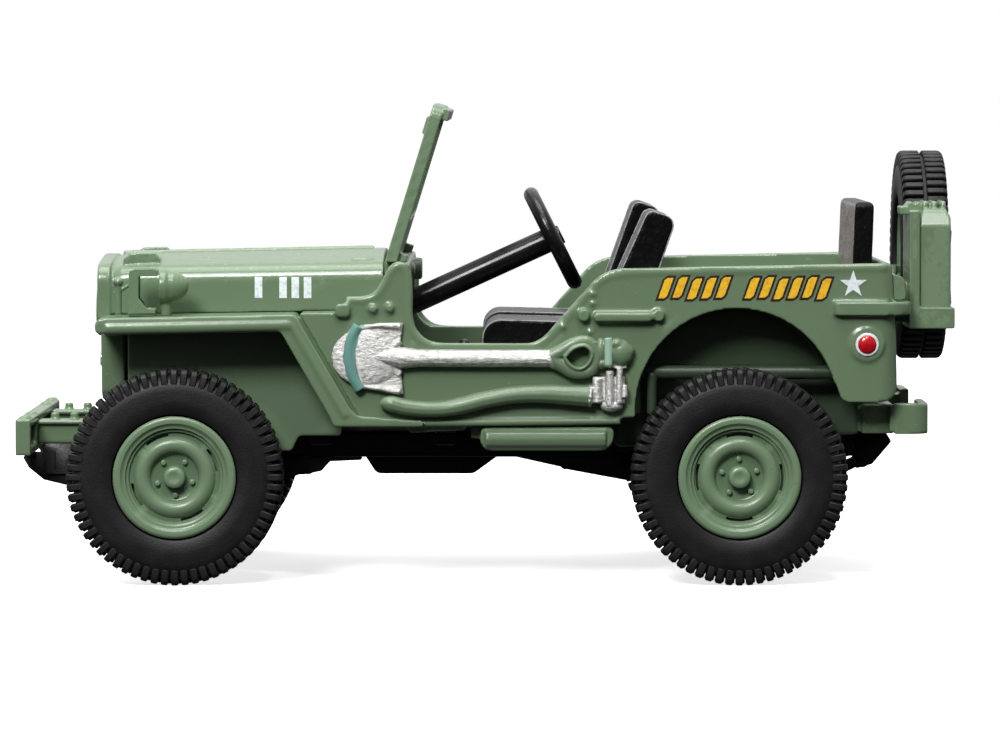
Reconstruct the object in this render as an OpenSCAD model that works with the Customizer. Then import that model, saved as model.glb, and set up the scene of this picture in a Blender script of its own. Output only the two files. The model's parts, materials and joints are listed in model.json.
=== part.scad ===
// Die-cast toy army 4x4 car, open topped, about 1:64 scale.
// Frame: +X to the nose, +Y to the car's left side, +Z up, origin on the floor under the middle.
// Millimetres throughout.

/* [Running gear] */
// Distance between the axles
wheelbase = 31.75; // [29:0.25:34]
// Outside diameter of each tyre
tyre_d = 12.2; // [11.6:0.1:12.6]
// Width of each tyre
tyre_w = 2.7; // [2.4:0.1:3]
// Diameter of the wheel rim's flange
rim_d = 6.9; // [6.4:0.1:7.4]
// Diameter of the steel axle rods
axle_d = 0.9; // [0.7:0.05:1.1]
// Height of the tyre's outer face from the car's middle
tyre_face_y = 12.4; // [12.3:0.1:13]

/* [Body] */
// Half the width across the tub's sides
tub_half_w = 11.5; // [11.3:0.1:11.8]
// Thickness of the cast walls
wall = 0.8; // [0.6:0.05:0.9]
// Height of the top rail at the tail
rail_z = 18.1; // [17.8:0.1:18.4]
// Height of the door opening's sill
door_sill_z = 13.6; // [13.2:0.1:14]
// Radius of the rear wheel arches
arch_r = 5.7; // [5.5:0.05:5.9]
// Radius of the tub's rear corners, seen from above
corner_r = 1.1; // [0.6:0.1:1.6]

/* [Hood and fenders] */
// Half the hood's width at the grille
hood_front_half = 6.6; // [6.2:0.1:7]
// Half the hood's width at the cowl
hood_rear_half = 8.35; // [8:0.05:8.6]
// Height of the hood's crown over its shoulders
hood_crown = 0.5; // [0.2:0.05:0.6]
// Half the width across the front fenders
fender_half_w = 12; // [11.9:0.05:12.2]
// Number of upright slots in the grille
grille_slots = 9; // [7:2:11]
// Width of each grille slot
slot_w = 0.4; // [0.3:0.02:0.45]
// Diameter of each headlamp
headlamp_d = 2.7; // [2.2:0.1:2.9]

/* [Windshield] */
// Backwards lean of the windshield
screen_lean = 17.2; // [8:0.1:20]
// Half the windshield's width
screen_half_w = 10.7; // [10.2:0.1:11]
// Length of the windshield along its lean
screen_len = 9.2; // [8.4:0.1:10]
// Thickness of the windshield frame
screen_t = 0.66; // [0.6:0.02:0.9]

/* [Cabin] */
// Width of each front seat
seat_w = 7.2; // [6.4:0.1:7.4]
// Width of the rear seat
rear_seat_w = 13; // [11:0.1:14]
// Diameter of the steering wheel
steering_d = 6.4; // [5.6:0.1:6.6]
// Diameter of the steering column
column_d = 1.4; // [0.9:0.1:1.4]
// Slope of the steering column
column_slope = 24.5; // [22:0.5:26]

/* [Bumpers and stowage] */
// Half the width of the front bumper
bumper_half_w = 10.2; // [9.2:0.1:11]
// Height of the jerry can
can_h = 6.9; // [6.5:0.1:8]
// Width of the jerry can
can_w = 5.2; // [4.6:0.1:5.2]

/* [Hidden] */

$fn = 48;
ARC_STEPS = 8;      // straight pieces in each rounded corner of an outline
seam = 0.05;        // gap between two castings that stay separate
running = 0.05;     // radial clearance of the axle rods in their cases

olive = [0.38, 0.47, 0.35];
dark_olive = [0.30, 0.38, 0.28];
black = [0.09, 0.09, 0.10];
silver = [0.80, 0.80, 0.79];
steel = [0.62, 0.63, 0.65];
red = [0.62, 0.06, 0.09];
rubber = [0.10, 0.10, 0.11];

// Running gear places
tyre_r = tyre_d / 2;
axle_z = tyre_r;
front_axle_x = 17.65;
rear_axle_x = front_axle_x - wheelbase;
wheel_y = tyre_face_y - tyre_w / 2;
bead_r = rim_d / 2 - 0.02;
case_half = tyre_face_y - tyre_w + 0.15;  // the brake drums reach just inside the wheels

// Body places
sill_z = 9;
tub_tail_x = -23.05;
dash_x = 4.45;
dash_z = 16.9;
cowl_z = 18.15;
rail_rise = 0.3;        // the top rail climbs this much from the doors to the tail
firewall_x = 7.9;
floor_z = 10;
deck_z = 12.1;
riser_x = -6.9;
wheelhouse_y = 7.7;     // inner face of each wheel house
wheelhouse_z = 16.2;
wheelhouse_front_x = rear_axle_x + arch_r + 0.2;
wheelhouse_tail_x = rear_axle_x - arch_r - 0.65;
arch_z = 9.86;

// Hood and fender places
grille_x = 22.35;
grille_t = 0.75;
grille_z0 = 10.3;
grille_z1 = 17.85;
hood_front_x = grille_x - grille_t;
hood_rear_x = 5.98;
hood_shoulder_front = 17.85;
hood_shoulder_rear = 18.15;
hood_wall = 0.7;
fender_front_x = 22.05;
fender_bend_x = 10.85;
fender_front_z = 15.02;
fender_bend_z = 15.25;
fender_lip = 0.85;
fender_in_y = 5.6;
skirt_y = 7.6;          // inner face of the wheel well's inner wall

function fender_top(x) =
    fender_front_z + (fender_front_x - x) * (fender_bend_z - fender_front_z) / (fender_front_x - fender_bend_x);

// Chassis places
rail_y = 4.9;           // middle of each frame rail
rail_w = 1.2;
rail_z0 = 6.8;
rail_z1 = 8.3;
spring_w = 1.1;
skid_half = 3;
crossmember_x = -21.15; // front face of the rear crossmember
bumper_front_x = 26.75;
bumper_rear_x = 25.9;

// Spare wheel and can places
spare_y = -2.5;
spare_z = 18.2;
spare_front_x = -23.9;
can_y = 4.1;            // the can's inner side
can_z = 14.65;
can_front_x = -24.4;
can_t = 1.75;
rear_back_z = 21.45;     // top of the rear seat's back

// ---------------------------------------------------------------- helpers

function unit(v) = v / norm(v);

// A closed outline from corners [x, y, r], each rounded by an arc of radius r.
function rounded(corners, steps = ARC_STEPS) = [
    for (i = [0:len(corners) - 1])
        let (
            n = len(corners),
            p = [corners[i][0], corners[i][1]],
            a = [corners[(i + n - 1) % n][0], corners[(i + n - 1) % n][1]],
            b = [corners[(i + 1) % n][0], corners[(i + 1) % n][1]],
            r = corners[i][2]
        )
        each (r == 0 ? [p] : corner_arc(p, unit(a - p), unit(b - p), r, steps))
];

function corner_arc(p, u, v, r, steps) =
    let (
        half = acos(u * v) / 2,
        centre = p + unit(u + v) * (r / sin(half)),
        from = p + u * (r / tan(half)) - centre,
        to = p + v * (r / tan(half)) - centre,
        a0 = atan2(from[1], from[0]),
        turn = atan2(to[1], to[0]) - a0,
        sweep = turn > 180 ? turn - 360 : turn < -180 ? turn + 360 : turn
    )
    [for (i = [0:steps]) centre + r * [cos(a0 + sweep * i / steps), sin(a0 + sweep * i / steps)]];

function arc(centre, r, a0, a1, steps = 24) =
    [for (i = [0:steps]) centre + r * [cos(a0 + (a1 - a0) * i / steps), sin(a0 + (a1 - a0) * i / steps)]];

// Stands an X-Z outline up and gives it the width from y0 to y1.
module upright(y0, y1) {
    translate([0, y1, 0]) rotate([90, 0, 0]) linear_extrude(y1 - y0) children();
}

// Stands a Y-Z outline up and gives it the length from x0 to x1.
module crossways(x0, x1) {
    translate([x0, 0, 0]) rotate([90, 0, 90]) linear_extrude(x1 - x0) children();
}

module box(x0, x1, y0, y1, z0, z1) {
    translate([x0, y0, z0]) cube([x1 - x0, y1 - y0, z1 - z0]);
}

module both_sides() {
    children();
    mirror([0, 1, 0]) children();
}

module across(x, z, y0, y1, r) {
    translate([x, y0, z]) rotate([-90, 0, 0]) cylinder(h = y1 - y0, r = r);
}

module along(x0, x1, y, z, r) {
    translate([x0, y, z]) rotate([0, 90, 0]) cylinder(h = x1 - x0, r = r);
}

// ---------------------------------------------------------------- tub

// Side view of the tub, with the door opening and without the wheel arch.
module tub_outline() {
    polygon(rounded([
        [7.03, sill_z, 0.2], [10.66, 15.3, 0.05], [8.4, 15.35, 0.3], [8.0, 16.05, 0.4], [6.35, 16.05, 1.2],
        [5.25, cowl_z, 0.7], [dash_x, cowl_z, 0.25],
        [dash_x, door_sill_z, 1.3], [-2.78, door_sill_z, 1.6], [-6.5, rail_z - rail_rise, 2.6],
        [tub_tail_x + 0.38, rail_z, 0.15], [tub_tail_x + 0.1, 14, 3], [tub_tail_x, 10.3, 0.9],
        [rear_axle_x - arch_r - 0.1, 10.3, 0.4], [rear_axle_x - arch_r + 0.3, 11.4, 0],
        [rear_axle_x, 12, 0], [rear_axle_x + arch_r, 11, 0.4], [rear_axle_x + arch_r + 0.1, 9.42, 0.15]
    ]));
}

module arch_outline() {
    translate([rear_axle_x + 0.15, arch_z]) circle(r = arch_r, $fn = 96);
}

// The tub's outside as one solid block, arches cut through.
module tub_block() {
    intersection() {
        upright(-tub_half_w, tub_half_w)
            difference() {
                tub_outline();
                arch_outline();
            }
        linear_extrude(30)
            polygon(rounded([
                [tub_tail_x, -tub_half_w, corner_r], [14, -tub_half_w, 0],
                [14, tub_half_w, 0], [tub_tail_x, tub_half_w, corner_r]
            ]));
    }
}

// The box over each rear wheel, its front edge leaning back behind the front seat.
module wheelhouse() {
    top_z = wheelhouse_z + wall;
    difference() {
        upright(wheelhouse_y, tub_half_w - wall)
            polygon(rounded([
                [wheelhouse_tail_x, deck_z + seam, 0], [wheelhouse_tail_x, top_z, 0.5],
                [wheelhouse_front_x - 1.8, top_z, 0.8], [wheelhouse_front_x, deck_z + seam, 0]
            ]));
        upright(wheelhouse_y + wall, tub_half_w) arch_outline();
    }
}

// The shelf that joins the hood's side to the tub's full width.
module cowl_shelf() {
    upright(hood_rear_half + seam, tub_half_w - wall)
        intersection() {
            difference() {
                tub_outline();
                translate([-0.45, -wall]) tub_outline();
            }
            translate([dash_x, 14]) square([6.5, 6]);
        }
}

module tub() {
    color(olive) {
        difference() {
            tub_block();
            box(tub_tail_x + wall, 14, -tub_half_w + wall, tub_half_w - wall, 0, 30);
        }
        both_sides() wheelhouse();
        both_sides() cowl_shelf();
        // dash panel, cowl top and firewall
        box(dash_x, dash_x + wall, -tub_half_w + wall, tub_half_w - wall, dash_z, cowl_z);
        box(dash_x, hood_rear_x - seam, -hood_rear_half - seam, hood_rear_half + seam, cowl_z - wall, cowl_z);
        difference() {
            box(firewall_x, firewall_x + wall, -tub_half_w + wall, tub_half_w - wall, sill_z + 0.5, 15.2);
            firewall_clearance();
        }
        box(firewall_x, firewall_x + wall, -hood_rear_half + 1.3, hood_rear_half - 1.3, 15, 17.2);
    }
}

// Keeps the firewall behind the slanting ends of the fenders.
module firewall_clearance() {
    both_sides() upright(skirt_y - seam, fender_half_w + 1)
        polygon([[7.0, 9.8], [7.0, 8], [12, 8], [12, 16], [10.70, 15.4]]);
}

// ---------------------------------------------------------------- lower casting

module underbody() {
    skirt = wheelhouse_y + wall;
    side = tub_half_w - wall - seam;
    color(dark_olive) {
        // floor, narrower where it runs up to the firewall between the fender skirts
        box(riser_x - wall, 6.8, -side, side, floor_z - wall, floor_z);
        box(6, firewall_x - seam, -skirt_y + seam, skirt_y - seam, floor_z - wall, floor_z);
        box(riser_x - wall, riser_x, -side, side, floor_z - wall, deck_z);
        box(tub_tail_x + wall + seam, riser_x, -skirt, skirt, deck_z - wall, deck_z);
        both_sides() upright(skirt - wall, skirt)
            polygon(rounded([
                [riser_x, deck_z, 0], [crossmember_x + seam, deck_z, 0], [crossmember_x + seam, 8.3, 0.3],
                [riser_x - 0.2, 7.55, 0.4]
            ]));
    }
}

// ---------------------------------------------------------------- front fenders

module fender_outline() {
    polygon(rounded([
        [fender_front_x + 0.05, 14.15, 0.25], [fender_front_x + 0.05, fender_front_z, 0.42],
        [fender_bend_x, fender_bend_z, 0.5], [7.62, 9.72, 0.25], [6.9, sill_z + 0.05, 0], [8.66, sill_z + 0.02, 0.2],
        [11.75, fender_bend_z - fender_lip, 0.7], [21.3, 14.18, 0.3]
    ]));
}

// The lip that turns from the fender's end along the tub's lower edge.
module fender_foot() {
    upright(tub_half_w, fender_half_w)
        polygon(rounded([
            [7.75, 9.9, 0], [7.3, 9.55, 0.3], [3.6, 9.25, 0.1], [3.7, 8.92, 0.12], [8.66, 8.92, 0.2], [8.9, 9.4, 0]
        ]));
}

module fender_skirt() {
    upright(skirt_y, skirt_y + wall)
        polygon(rounded([
            [20.5, 14.6, 0], [20.5, 10.6, 0.6], [19.5, 8.7, 0.5], [13.2, 8.4, 0.5], [12.3, 7.35, 0.3],
            [11.2, 7.35, 0.3], [10.8, 8.2, 0.3], [8.4, 8.2, 0.2], [8.2, 9.3, 0], [12.2, 14.6, 0]
        ]));
}

module front_fenders() {
    color(olive) both_sides() {
        difference() {
            upright(fender_in_y, fender_half_w) fender_outline();
            // room for the grille shell and for the firewall
            box(grille_x - 1.6, 30, 0, hood_front_half + 0.15 + seam, 0, 30);
            box(0, firewall_x + wall + seam, 0, skirt_y, 0, 14.4);
        }
        fender_foot();
        fender_skirt();
    }
}

// ---------------------------------------------------------------- grille

module grille_face() {
    polygon(rounded([
        [-hood_front_half - 0.15, grille_z0, 0.5], [hood_front_half + 0.15, grille_z0, 0.5],
        [hood_front_half + 0.15, grille_z1, 1.1], [0, grille_z1 + hood_crown * 1.2, 30],
        [-hood_front_half - 0.15, grille_z1, 1.1]
    ]));
}

module grille() {
    slot_pitch = 0.74;
    color(olive) difference() {
        intersection() {
            crossways(grille_x - 1.55, grille_x) grille_face();
            upright(-10, 10) polygon([
                [grille_x - 1.55, 10], [grille_x - 0.25, 10], [grille_x - 0.2, 14], [grille_x, 15], [grille_x, 20], [grille_x - 1.55, 20]
            ]);
        }
        // hollow behind the face
        box(grille_x - 2, grille_x - grille_t, -hood_front_half + 0.55, hood_front_half - 0.55, grille_z0 - 1, 14.3);
        box(grille_x - 2, grille_x - grille_t, -10, 10, 14.3 - 0.001, 30);
        for (i = [0:grille_slots - 1])
            translate([grille_x - 0.4, (i - (grille_slots - 1) / 2) * slot_pitch - slot_w / 2, 12.1])
                cube([1, slot_w, 4.9]);
        both_sides() {
            along(grille_x - 0.45, grille_x + 1, 4.95, 15.2, headlamp_d / 2 + seam);
            along(grille_x - 0.4, grille_x + 1, 4.95, 12.5, 0.5);
        }
    }
}

module headlights() {
    color(silver) both_sides() {
        along(grille_x - 0.45, grille_x - 0.1, 4.95, 15.2, headlamp_d / 2);
        translate([grille_x - 0.1, 4.95, 15.2]) rotate([0, 90, 0])
            rotate_extrude() polygon([for (a = [0:10:90]) [headlamp_d / 2 * cos(a), 0.25 * sin(a)], [0, 0]]);
        along(grille_x - 0.4, grille_x - 0.05, 4.95, 12.5, 0.45);
    }
}

// ---------------------------------------------------------------- hood

// One section across the hood: half width w, foot z0, shoulder z1, as [y, z] points from right to left.
function hood_arch(w, z0, z1, crown, r) = [
    [-w, z0],
    for (a = [180:-15:90]) [-w + r + r * cos(a), z1 - r + r * sin(a)],
    for (t = [-0.75:0.25:0.75]) [t * (w - r), z1 + crown * (1 - t * t)],
    for (a = [90:-15:0]) [w - r + r * cos(a), z1 - r + r * sin(a)],
    [w, z0]
];

// [x, half width, shoulder height, crown, shoulder radius] of each section, front to rear.
function hood_section(x, drop) =
    let (t = (hood_front_x - x) / (hood_front_x - hood_rear_x))
    [
        x,
        hood_front_half + (hood_rear_half - hood_front_half) * t,
        hood_shoulder_front + (hood_shoulder_rear - hood_shoulder_front) * t - drop,
        hood_crown,
        1.0
    ];

hood_sections = [
    hood_section(hood_front_x - seam, 0.28), hood_section(hood_front_x - 0.25, 0.1),
    hood_section(hood_front_x - 0.6, 0.02), hood_section(hood_front_x - 1.1, 0),
    hood_section((hood_front_x + hood_rear_x) / 2, 0), hood_section(hood_rear_x, 0)
];

module hood_shell() {
    rings = [
        for (s = hood_sections)
            let (
                foot = fender_top(s[0]) + 0.02,
                outer = hood_arch(s[1], foot, s[2], s[3], s[4]),
                inner = hood_arch(s[1] - hood_wall, foot, s[2] - hood_wall, s[3], s[4] - 0.3)
            )
            [for (p = outer) [s[0], p[0], p[1]], for (i = [len(inner) - 1:-1:0]) [s[0], inner[i][0], inner[i][1]]]
    ];
    m = len(rings[0]);
    half = m / 2;
    last = len(rings) - 1;
    skin = [
        for (i = [0:last - 1], k = [0:m - 1])
            let (a = i * m + k, b = i * m + (k + 1) % m)
            each [[a, b + m, b], [a, a + m, b + m]]
    ];
    ends = [
        for (i = [0, last], k = [0:half - 2])
            let (a = i * m + k, b = a + 1, c = i * m + m - 2 - k, d = c + 1)
            each (i == 0 ? [[a, c, d], [a, b, c]] : [[a, c, b], [a, d, c]])
    ];
    polyhedron(points = [for (r = rings) each r], faces = concat(skin, ends));
}

module hood() {
    color(olive) {
        hood_shell();
        // padded blocks that the folded windshield rests on
        both_sides() upright(4.6, 6.0)
            polygon(rounded([[18.8, 18.2, 0], [19.1, 18.55, 0.15], [20.5, 18.52, 0.15], [20.9, 18.2, 0], [20.9, 17.6, 0], [18.8, 17.6, 0]]));
    }
}

module hood_latches() {
    color(olive) both_sides() {
        upright(tub_half_w, tub_half_w + 0.35)
            polygon(rounded([[8.6, 15.1, 0.15], [8.6, 15.85, 0.2], [7.8, 15.85, 0.2], [7.8, 15.1, 0.15]]));
        across(6.5, 15.55, tub_half_w, tub_half_w + 0.3, 0.24);
        across(5.55, 15.6, tub_half_w, tub_half_w + 0.3, 0.24);
    }
}

// ---------------------------------------------------------------- windshield

screen_foot_x = 5.5;

// Children are drawn on the leaning windshield: X forward of its middle plane, Z along its lean.
module leaning() {
    translate([screen_foot_x, 0, cowl_z + seam]) rotate([0, -screen_lean, 0]) children();
}

module screen_panes(grow) {
    pane_half = screen_half_w - 0.95;
    for (s = [0, 1]) mirror([s, 0])
        polygon(rounded([
            [0.3 - grow, 2.5 - grow, 0.3 + grow], [pane_half + grow, 2.5 - grow, 0.3 + grow],
            [pane_half + grow, screen_len - 0.85 + grow, 0.3 + grow],
            [0.3 - grow, screen_len - 0.85 + grow, 0.3 + grow]
        ]));
}

module windshield_frame() {
    color(olive) intersection() {
        leaning() {
            difference() {
                crossways(-screen_t / 2, screen_t / 2)
                    polygon(rounded([
                        [-screen_half_w, -1, 0], [screen_half_w, -1, 0],
                        [screen_half_w, screen_len, 0.9], [-screen_half_w, screen_len, 0.9]
                    ]));
                crossways(-screen_t, screen_t) screen_panes(0);
            }
            // header bead at the rear, clamps near the top and hinges at the foot
            box(-screen_t / 2 - 0.4, -screen_t / 2, -screen_half_w + 0.2, screen_half_w - 0.2, screen_len - 0.75, screen_len - 0.1);
            both_sides() {
                box(screen_t / 2, screen_t / 2 + 0.14, screen_half_w - 1.6, screen_half_w - 0.4, 7.4, 8.4);
                box(-screen_t / 2 - 0.5, -screen_t / 2, screen_half_w - 1.5, screen_half_w - 0.3, -1, 0.6);
            }
        }
        box(-10, 12, -20, 20, cowl_z, 40);
    }
}

module windshield_glass() {
    color([0.8, 0.9, 0.9, 0.3]) leaning()
        crossways(-0.15, 0.15) screen_panes(0);
}

// ---------------------------------------------------------------- body fittings

module dash_cluster() {
    color(olive) {
        for (y = [-1.2, 1.2]) along(dash_x - 0.55, dash_x, y, 17.45, 0.6);
        along(dash_x - 0.4, dash_x, 0, 17.75, 0.3);
    }
}

module grab_handles() {
    color(olive) both_sides() {
        upright(tub_half_w, tub_half_w + 0.55)
            polygon(rounded([[-5.9, 14.85, 0.22], [-5.9, 15.35, 0.22], [-9.2, 15.35, 0.22], [-9.2, 14.85, 0.22]]));
        for (x = [-5.35, -9.55])
            upright(tub_half_w, tub_half_w + 0.4) translate([x, 15.2]) circle(r = 0.34);
        // bar round each rear corner
        difference() {
            translate([0, 0, 15.2]) linear_extrude(0.75)
                polygon(rounded([
                    [-19.4, tub_half_w + 0.4, 0.3], [tub_tail_x - 0.75, tub_half_w + 0.4, 1.4], [tub_tail_x - 0.75, tub_half_w - 3, 0.3],
                    [tub_tail_x + 0.3, tub_half_w - 3, 0], [tub_tail_x + 0.3, tub_half_w - 1, 0], [-21, tub_half_w - 0.4, 0], [-19.4, tub_half_w - 0.4, 0]
                ]));
            tub_block_grown();
        }
    }
}

// The tub's outer side as one solid.
module tub_block_grown() {
    upright(0, tub_half_w) tub_outline();
}

module blackout_lamp() {
    lamp_y = 9.5;
    lamp_z = 16.75;
    color(olive) {
        translate([18.25, lamp_y, lamp_z]) rotate([0, 90, 0]) rotate_extrude()
            polygon([
                for (a = [-90:15:0]) [0.9 * cos(a), -0.15 + 1.15 * sin(a)],
                [0.98, 0], [0.98, 0.35], [0, 0.35]
            ]);
        translate([18.25, lamp_y, fender_top(18.25)]) cylinder(h = lamp_z - fender_top(18.25) - 0.5, r = 0.3);
        // brush guard
        difference() {
            upright(lamp_y - 0.85, lamp_y + 0.85)
                polygon(rounded([
                    [18.8, 15.25, 0], [20.3, 15.2, 0], [20.3, 17.75, 0.3], [18.7, 17.75, 0.1],
                    [18.7, 17.35, 0], [19.75, 17.35, 0], [19.75, 16.1, 0], [19.3, 15.55, 0], [18.8, 15.5, 0]
                ]));
            box(18, 19.9, lamp_y - 0.45, lamp_y + 0.45, 15, 17.4);
            box(18, 21, 0, 20, 14, fender_top(18));
        }
    }
}

module side_reflectors() {
    color(red) both_sides() {
        across(-21.3, 13.55, tub_half_w, tub_half_w + 0.25, 0.75);
        translate([-21.3, tub_half_w + 0.25, 13.55]) rotate([-90, 0, 0])
            rotate_extrude() polygon([for (a = [0:15:90]) [0.55 * cos(a), 0.25 * sin(a)], [0, 0]]);
    }
}

module tail_lights() {
    color(red) both_sides()
        difference() {
            upright(tub_half_w - 1.7, tub_half_w - 0.5)
                polygon(rounded([
                    [tub_tail_x + 0.3, 16.05, 0], [tub_tail_x + 0.3, 17.5, 0.1], [tub_tail_x - 0.35, 17.3, 0.4], [tub_tail_x - 0.45, 16.05, 0.2]
                ]));
            tub_block_grown();
        }
}

module fuel_tank_sump() {
    color(olive) {
        upright(8.2, tub_half_w - wall - 0.1)
            polygon([[0.3, 8.2], [1.0, 8.2], [1.0, 8.9], [0.3, 8.9]]);
        upright(8.2, tub_half_w - 0.1)
            polygon(rounded([[0.6, 7.55, 0.7], [-6.95, 7.55, 0.8], [-7.1, 8.9, 0.35], [0.4, 8.9, 0.3]]));
    }
}

// ---------------------------------------------------------------- tools on the left side

module shovel() {
    y0 = tub_half_w;
    color(silver) difference() {
        union() {
            // blade, with a raised middle rib
            upright(y0, y0 + 0.55)
                polygon(rounded([
                    [4.8, 14.77, 0.1], [4.97, 13.4, 0.1], [4.97, 12.25, 0.1], [4.8, 10.75, 0.1], [5.4, 10.92, 0.3],
                    [7.45, 11.05, 0.6], [8.4, 12.2, 0.8], [8.65, 12.95, 0.5], [8.45, 13.7, 0.5], [7.6, 14.6, 0.8],
                    [5.8, 14.72, 2]
                ]));
            // shaft
            translate([4.9, y0 + 0.32, 12.75]) rotate([0, -90, 0])
                linear_extrude(8.6) polygon(rounded([[-0.5, -0.32, 0], [0.5, -0.32, 0], [0.5, 0.4, 0.3], [-0.5, 0.4, 0.3]]));
            upright(y0, y0 + 0.6)
                polygon(rounded([
                    [-3.5, 13.25, 0], [-4.5, 14.05, 0.8], [-5.9, 14.0, 0.4], [-6.05, 13.5, 0.2], [-6.05, 12.2, 0.2],
                    [-5.6, 11.65, 0.4], [-4.7, 11.65, 0.8], [-3.5, 12.25, 0]
                ]));
        }
        upright(y0 - 1, y0 + 2)
            polygon(rounded([
                [-4.3, 12.9, 0.1], [-4.9, 13.45, 0.3], [-5.6, 13.4, 0.3], [-5.7, 12.6, 0.3], [-5.1, 12.2, 0.3], [-4.6, 12.45, 0.2]
            ]));
    }
}

// The axe's curved handle, front to rear, on the tub's side: X, Z and half its width.
axe_line = [
    [6.15, 10.17, 0.14], [5.5, 10.22, 0.48], [4.6, 10.02, 0.47], [3.5, 9.92, 0.44], [2.4, 9.96, 0.46], [1.3, 10.17, 0.5],
    [0.2, 10.45, 0.5], [-1.5, 10.73, 0.5], [-3.2, 10.78, 0.54], [-4.4, 10.72, 0.6], [-5.7, 10.65, 0.66]
];

module axe() {
    y0 = tub_half_w;
    last = len(axe_line) - 1;
    color(silver) {
        upright(y0, y0 + 0.75) polygon(rounded(concat(
            [for (i = [0:last]) [axe_line[i][0], axe_line[i][1] + axe_line[i][2], i < 2 || i == last ? 0.1 : 3]],
            [for (i = [last:-1:0]) [axe_line[i][0], axe_line[i][1] - axe_line[i][2], i < 2 || i == last ? 0.1 : 3]]
        ), 3));
        upright(y0, y0 + 0.9)
            polygon(rounded([
                [-5.65, 10.1, 0.1], [-5.65, 11.9, 0.15], [-6.4, 11.75, 0.1], [-6.42, 12.3, 0.1], [-7.55, 12.35, 0.15],
                [-7.6, 11.5, 0.1], [-7.85, 11.3, 0.15], [-7.8, 10.4, 0.2], [-7.1, 9.72, 0.2], [-6.5, 9.88, 0.2]
            ]));
        // clamp behind the handle's end
        upright(y0, y0 + 0.6)
            polygon(rounded([[-6.2, 12.32, 0.05], [-6.2, 14.1, 0.2], [-7.3, 14.0, 0.3], [-8.15, 13.2, 0.4], [-7.6, 12.32, 0.2]]));
    }
}

// ---------------------------------------------------------------- cabin

steering_tilt = column_slope + 2;     // the wheel leans a little more than its column

// Local +Z runs forwards and down along the column.
module steering_frame(slope) {
    translate([-3.66, 5.8, 19.38]) rotate([0, 90 + slope, 0]) children();
}

module steering_wheel() {
    rim_r = 0.43;
    major = steering_d / 2 - rim_r;
    color(black) steering_frame(steering_tilt) {
        rotate_extrude($fn = 96) translate([major, 0]) circle(r = rim_r, $fn = 24);
        translate([0, 0, -0.55]) cylinder(h = 0.85, r = 0.55);
        for (a = [0, 120, 240]) rotate([0, 0, a + 90])
            translate([0, -0.17, -0.15]) cube([major, 0.34, 0.34]);
    }
}

module steering_column() {
    color(black) intersection() {
        steering_frame(column_slope) translate([0, 0, 0.35]) cylinder(h = 14, r = column_d / 2);
        box(-10, firewall_x, 0, 12, 0, 30);
    }
}

// The top of the seat's back stands this far ahead of its usual place, and this far above it.
module seat_outline(ahead, above) {
    polygon(rounded([
        [0.35, 12.8, 0.3], [0.3, 14.85, 1.0], [-5.75, 14.7, 0.15], [-6.2, 14.7, 0.1],
        [-9.05 + ahead, 21.05 + above, 0.45], [-10.6 + ahead, 20.55 + above, 0.6], [-7.9, 12.8, 0.3]
    ]));
}

module front_seat(ahead, above) {
    translate([0, 5.8, 0]) {
        upright(-seat_w / 2, seat_w / 2) seat_outline(ahead, above);
        box(-6.2, -0.4, -seat_w / 2 + 0.5, seat_w / 2 - 0.5, floor_z, 13);
    }
}

passenger_ahead = 0.5;  // the passenger's seat back stands this much further forward
passenger_above = 0.3;  // and this much higher

module driver_seat() {
    color(black) front_seat(0, 0);
}

module passenger_seat() {
    color(black) mirror([0, 1, 0]) front_seat(passenger_ahead, passenger_above);
}

module rear_seat() {
    color(black) {
        upright(-rear_seat_w / 2, rear_seat_w / 2)
            polygon(rounded([[-16.3, 13.6, 0.3], [-16.3, 15.1, 0.7], [-20.5, 14.9, 0.1], [-20.75, 14.9, 0.1], [-20.9, 13.4, 0.3]]));
        upright(-rear_seat_w / 2 + 0.6, rear_seat_w / 2 - 0.6)
            polygon(rounded([[-17.2, deck_z, 0], [-17.2, 13.8, 0], [-21.6, 13.8, 0], [-21.6, deck_z, 0]]));
        difference() {
            upright(-rear_seat_w / 2, rear_seat_w / 2)
                polygon(rounded([[-20.6, 14.2, 0.1], [-20.9, rear_back_z, 0.3], [-22, rear_back_z, 0.3], [-21.75, 14.2, 0.2]]));
            rear_seat_corners();
        }
    }
}

module rear_seat_corners() {
    h = rear_seat_w / 2;
    crossways(-23, -19) both_corners(h);
}

module both_corners(h) {
    r = 0.35;
    for (s = [0, 1]) mirror([s, 0]) difference() {
        translate([h - r, rear_back_z - r]) square([r + 1, r + 1]);
        translate([h - r, rear_back_z - r]) circle(r = r);
    }
}

module gear_levers() {
    color(black) {
        box(1.5, 4.1, -0.9, 0.9, floor_z, floor_z + 0.7);
        for (p = [[2.2, 0, 2.4], [3.2, -0.55, 1.6], [3.2, 0.55, 1.6]])
            translate([p[0], p[1], floor_z + 0.7]) rotate([0, -18, 0]) {
                translate([0, 0, -0.3]) cylinder(h = p[2] + 0.3, r = 0.17, $fn = 16);
                translate([0, 0, p[2]]) sphere(r = 0.36, $fn = 24);
            }
    }
}

// ---------------------------------------------------------------- chassis

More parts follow.
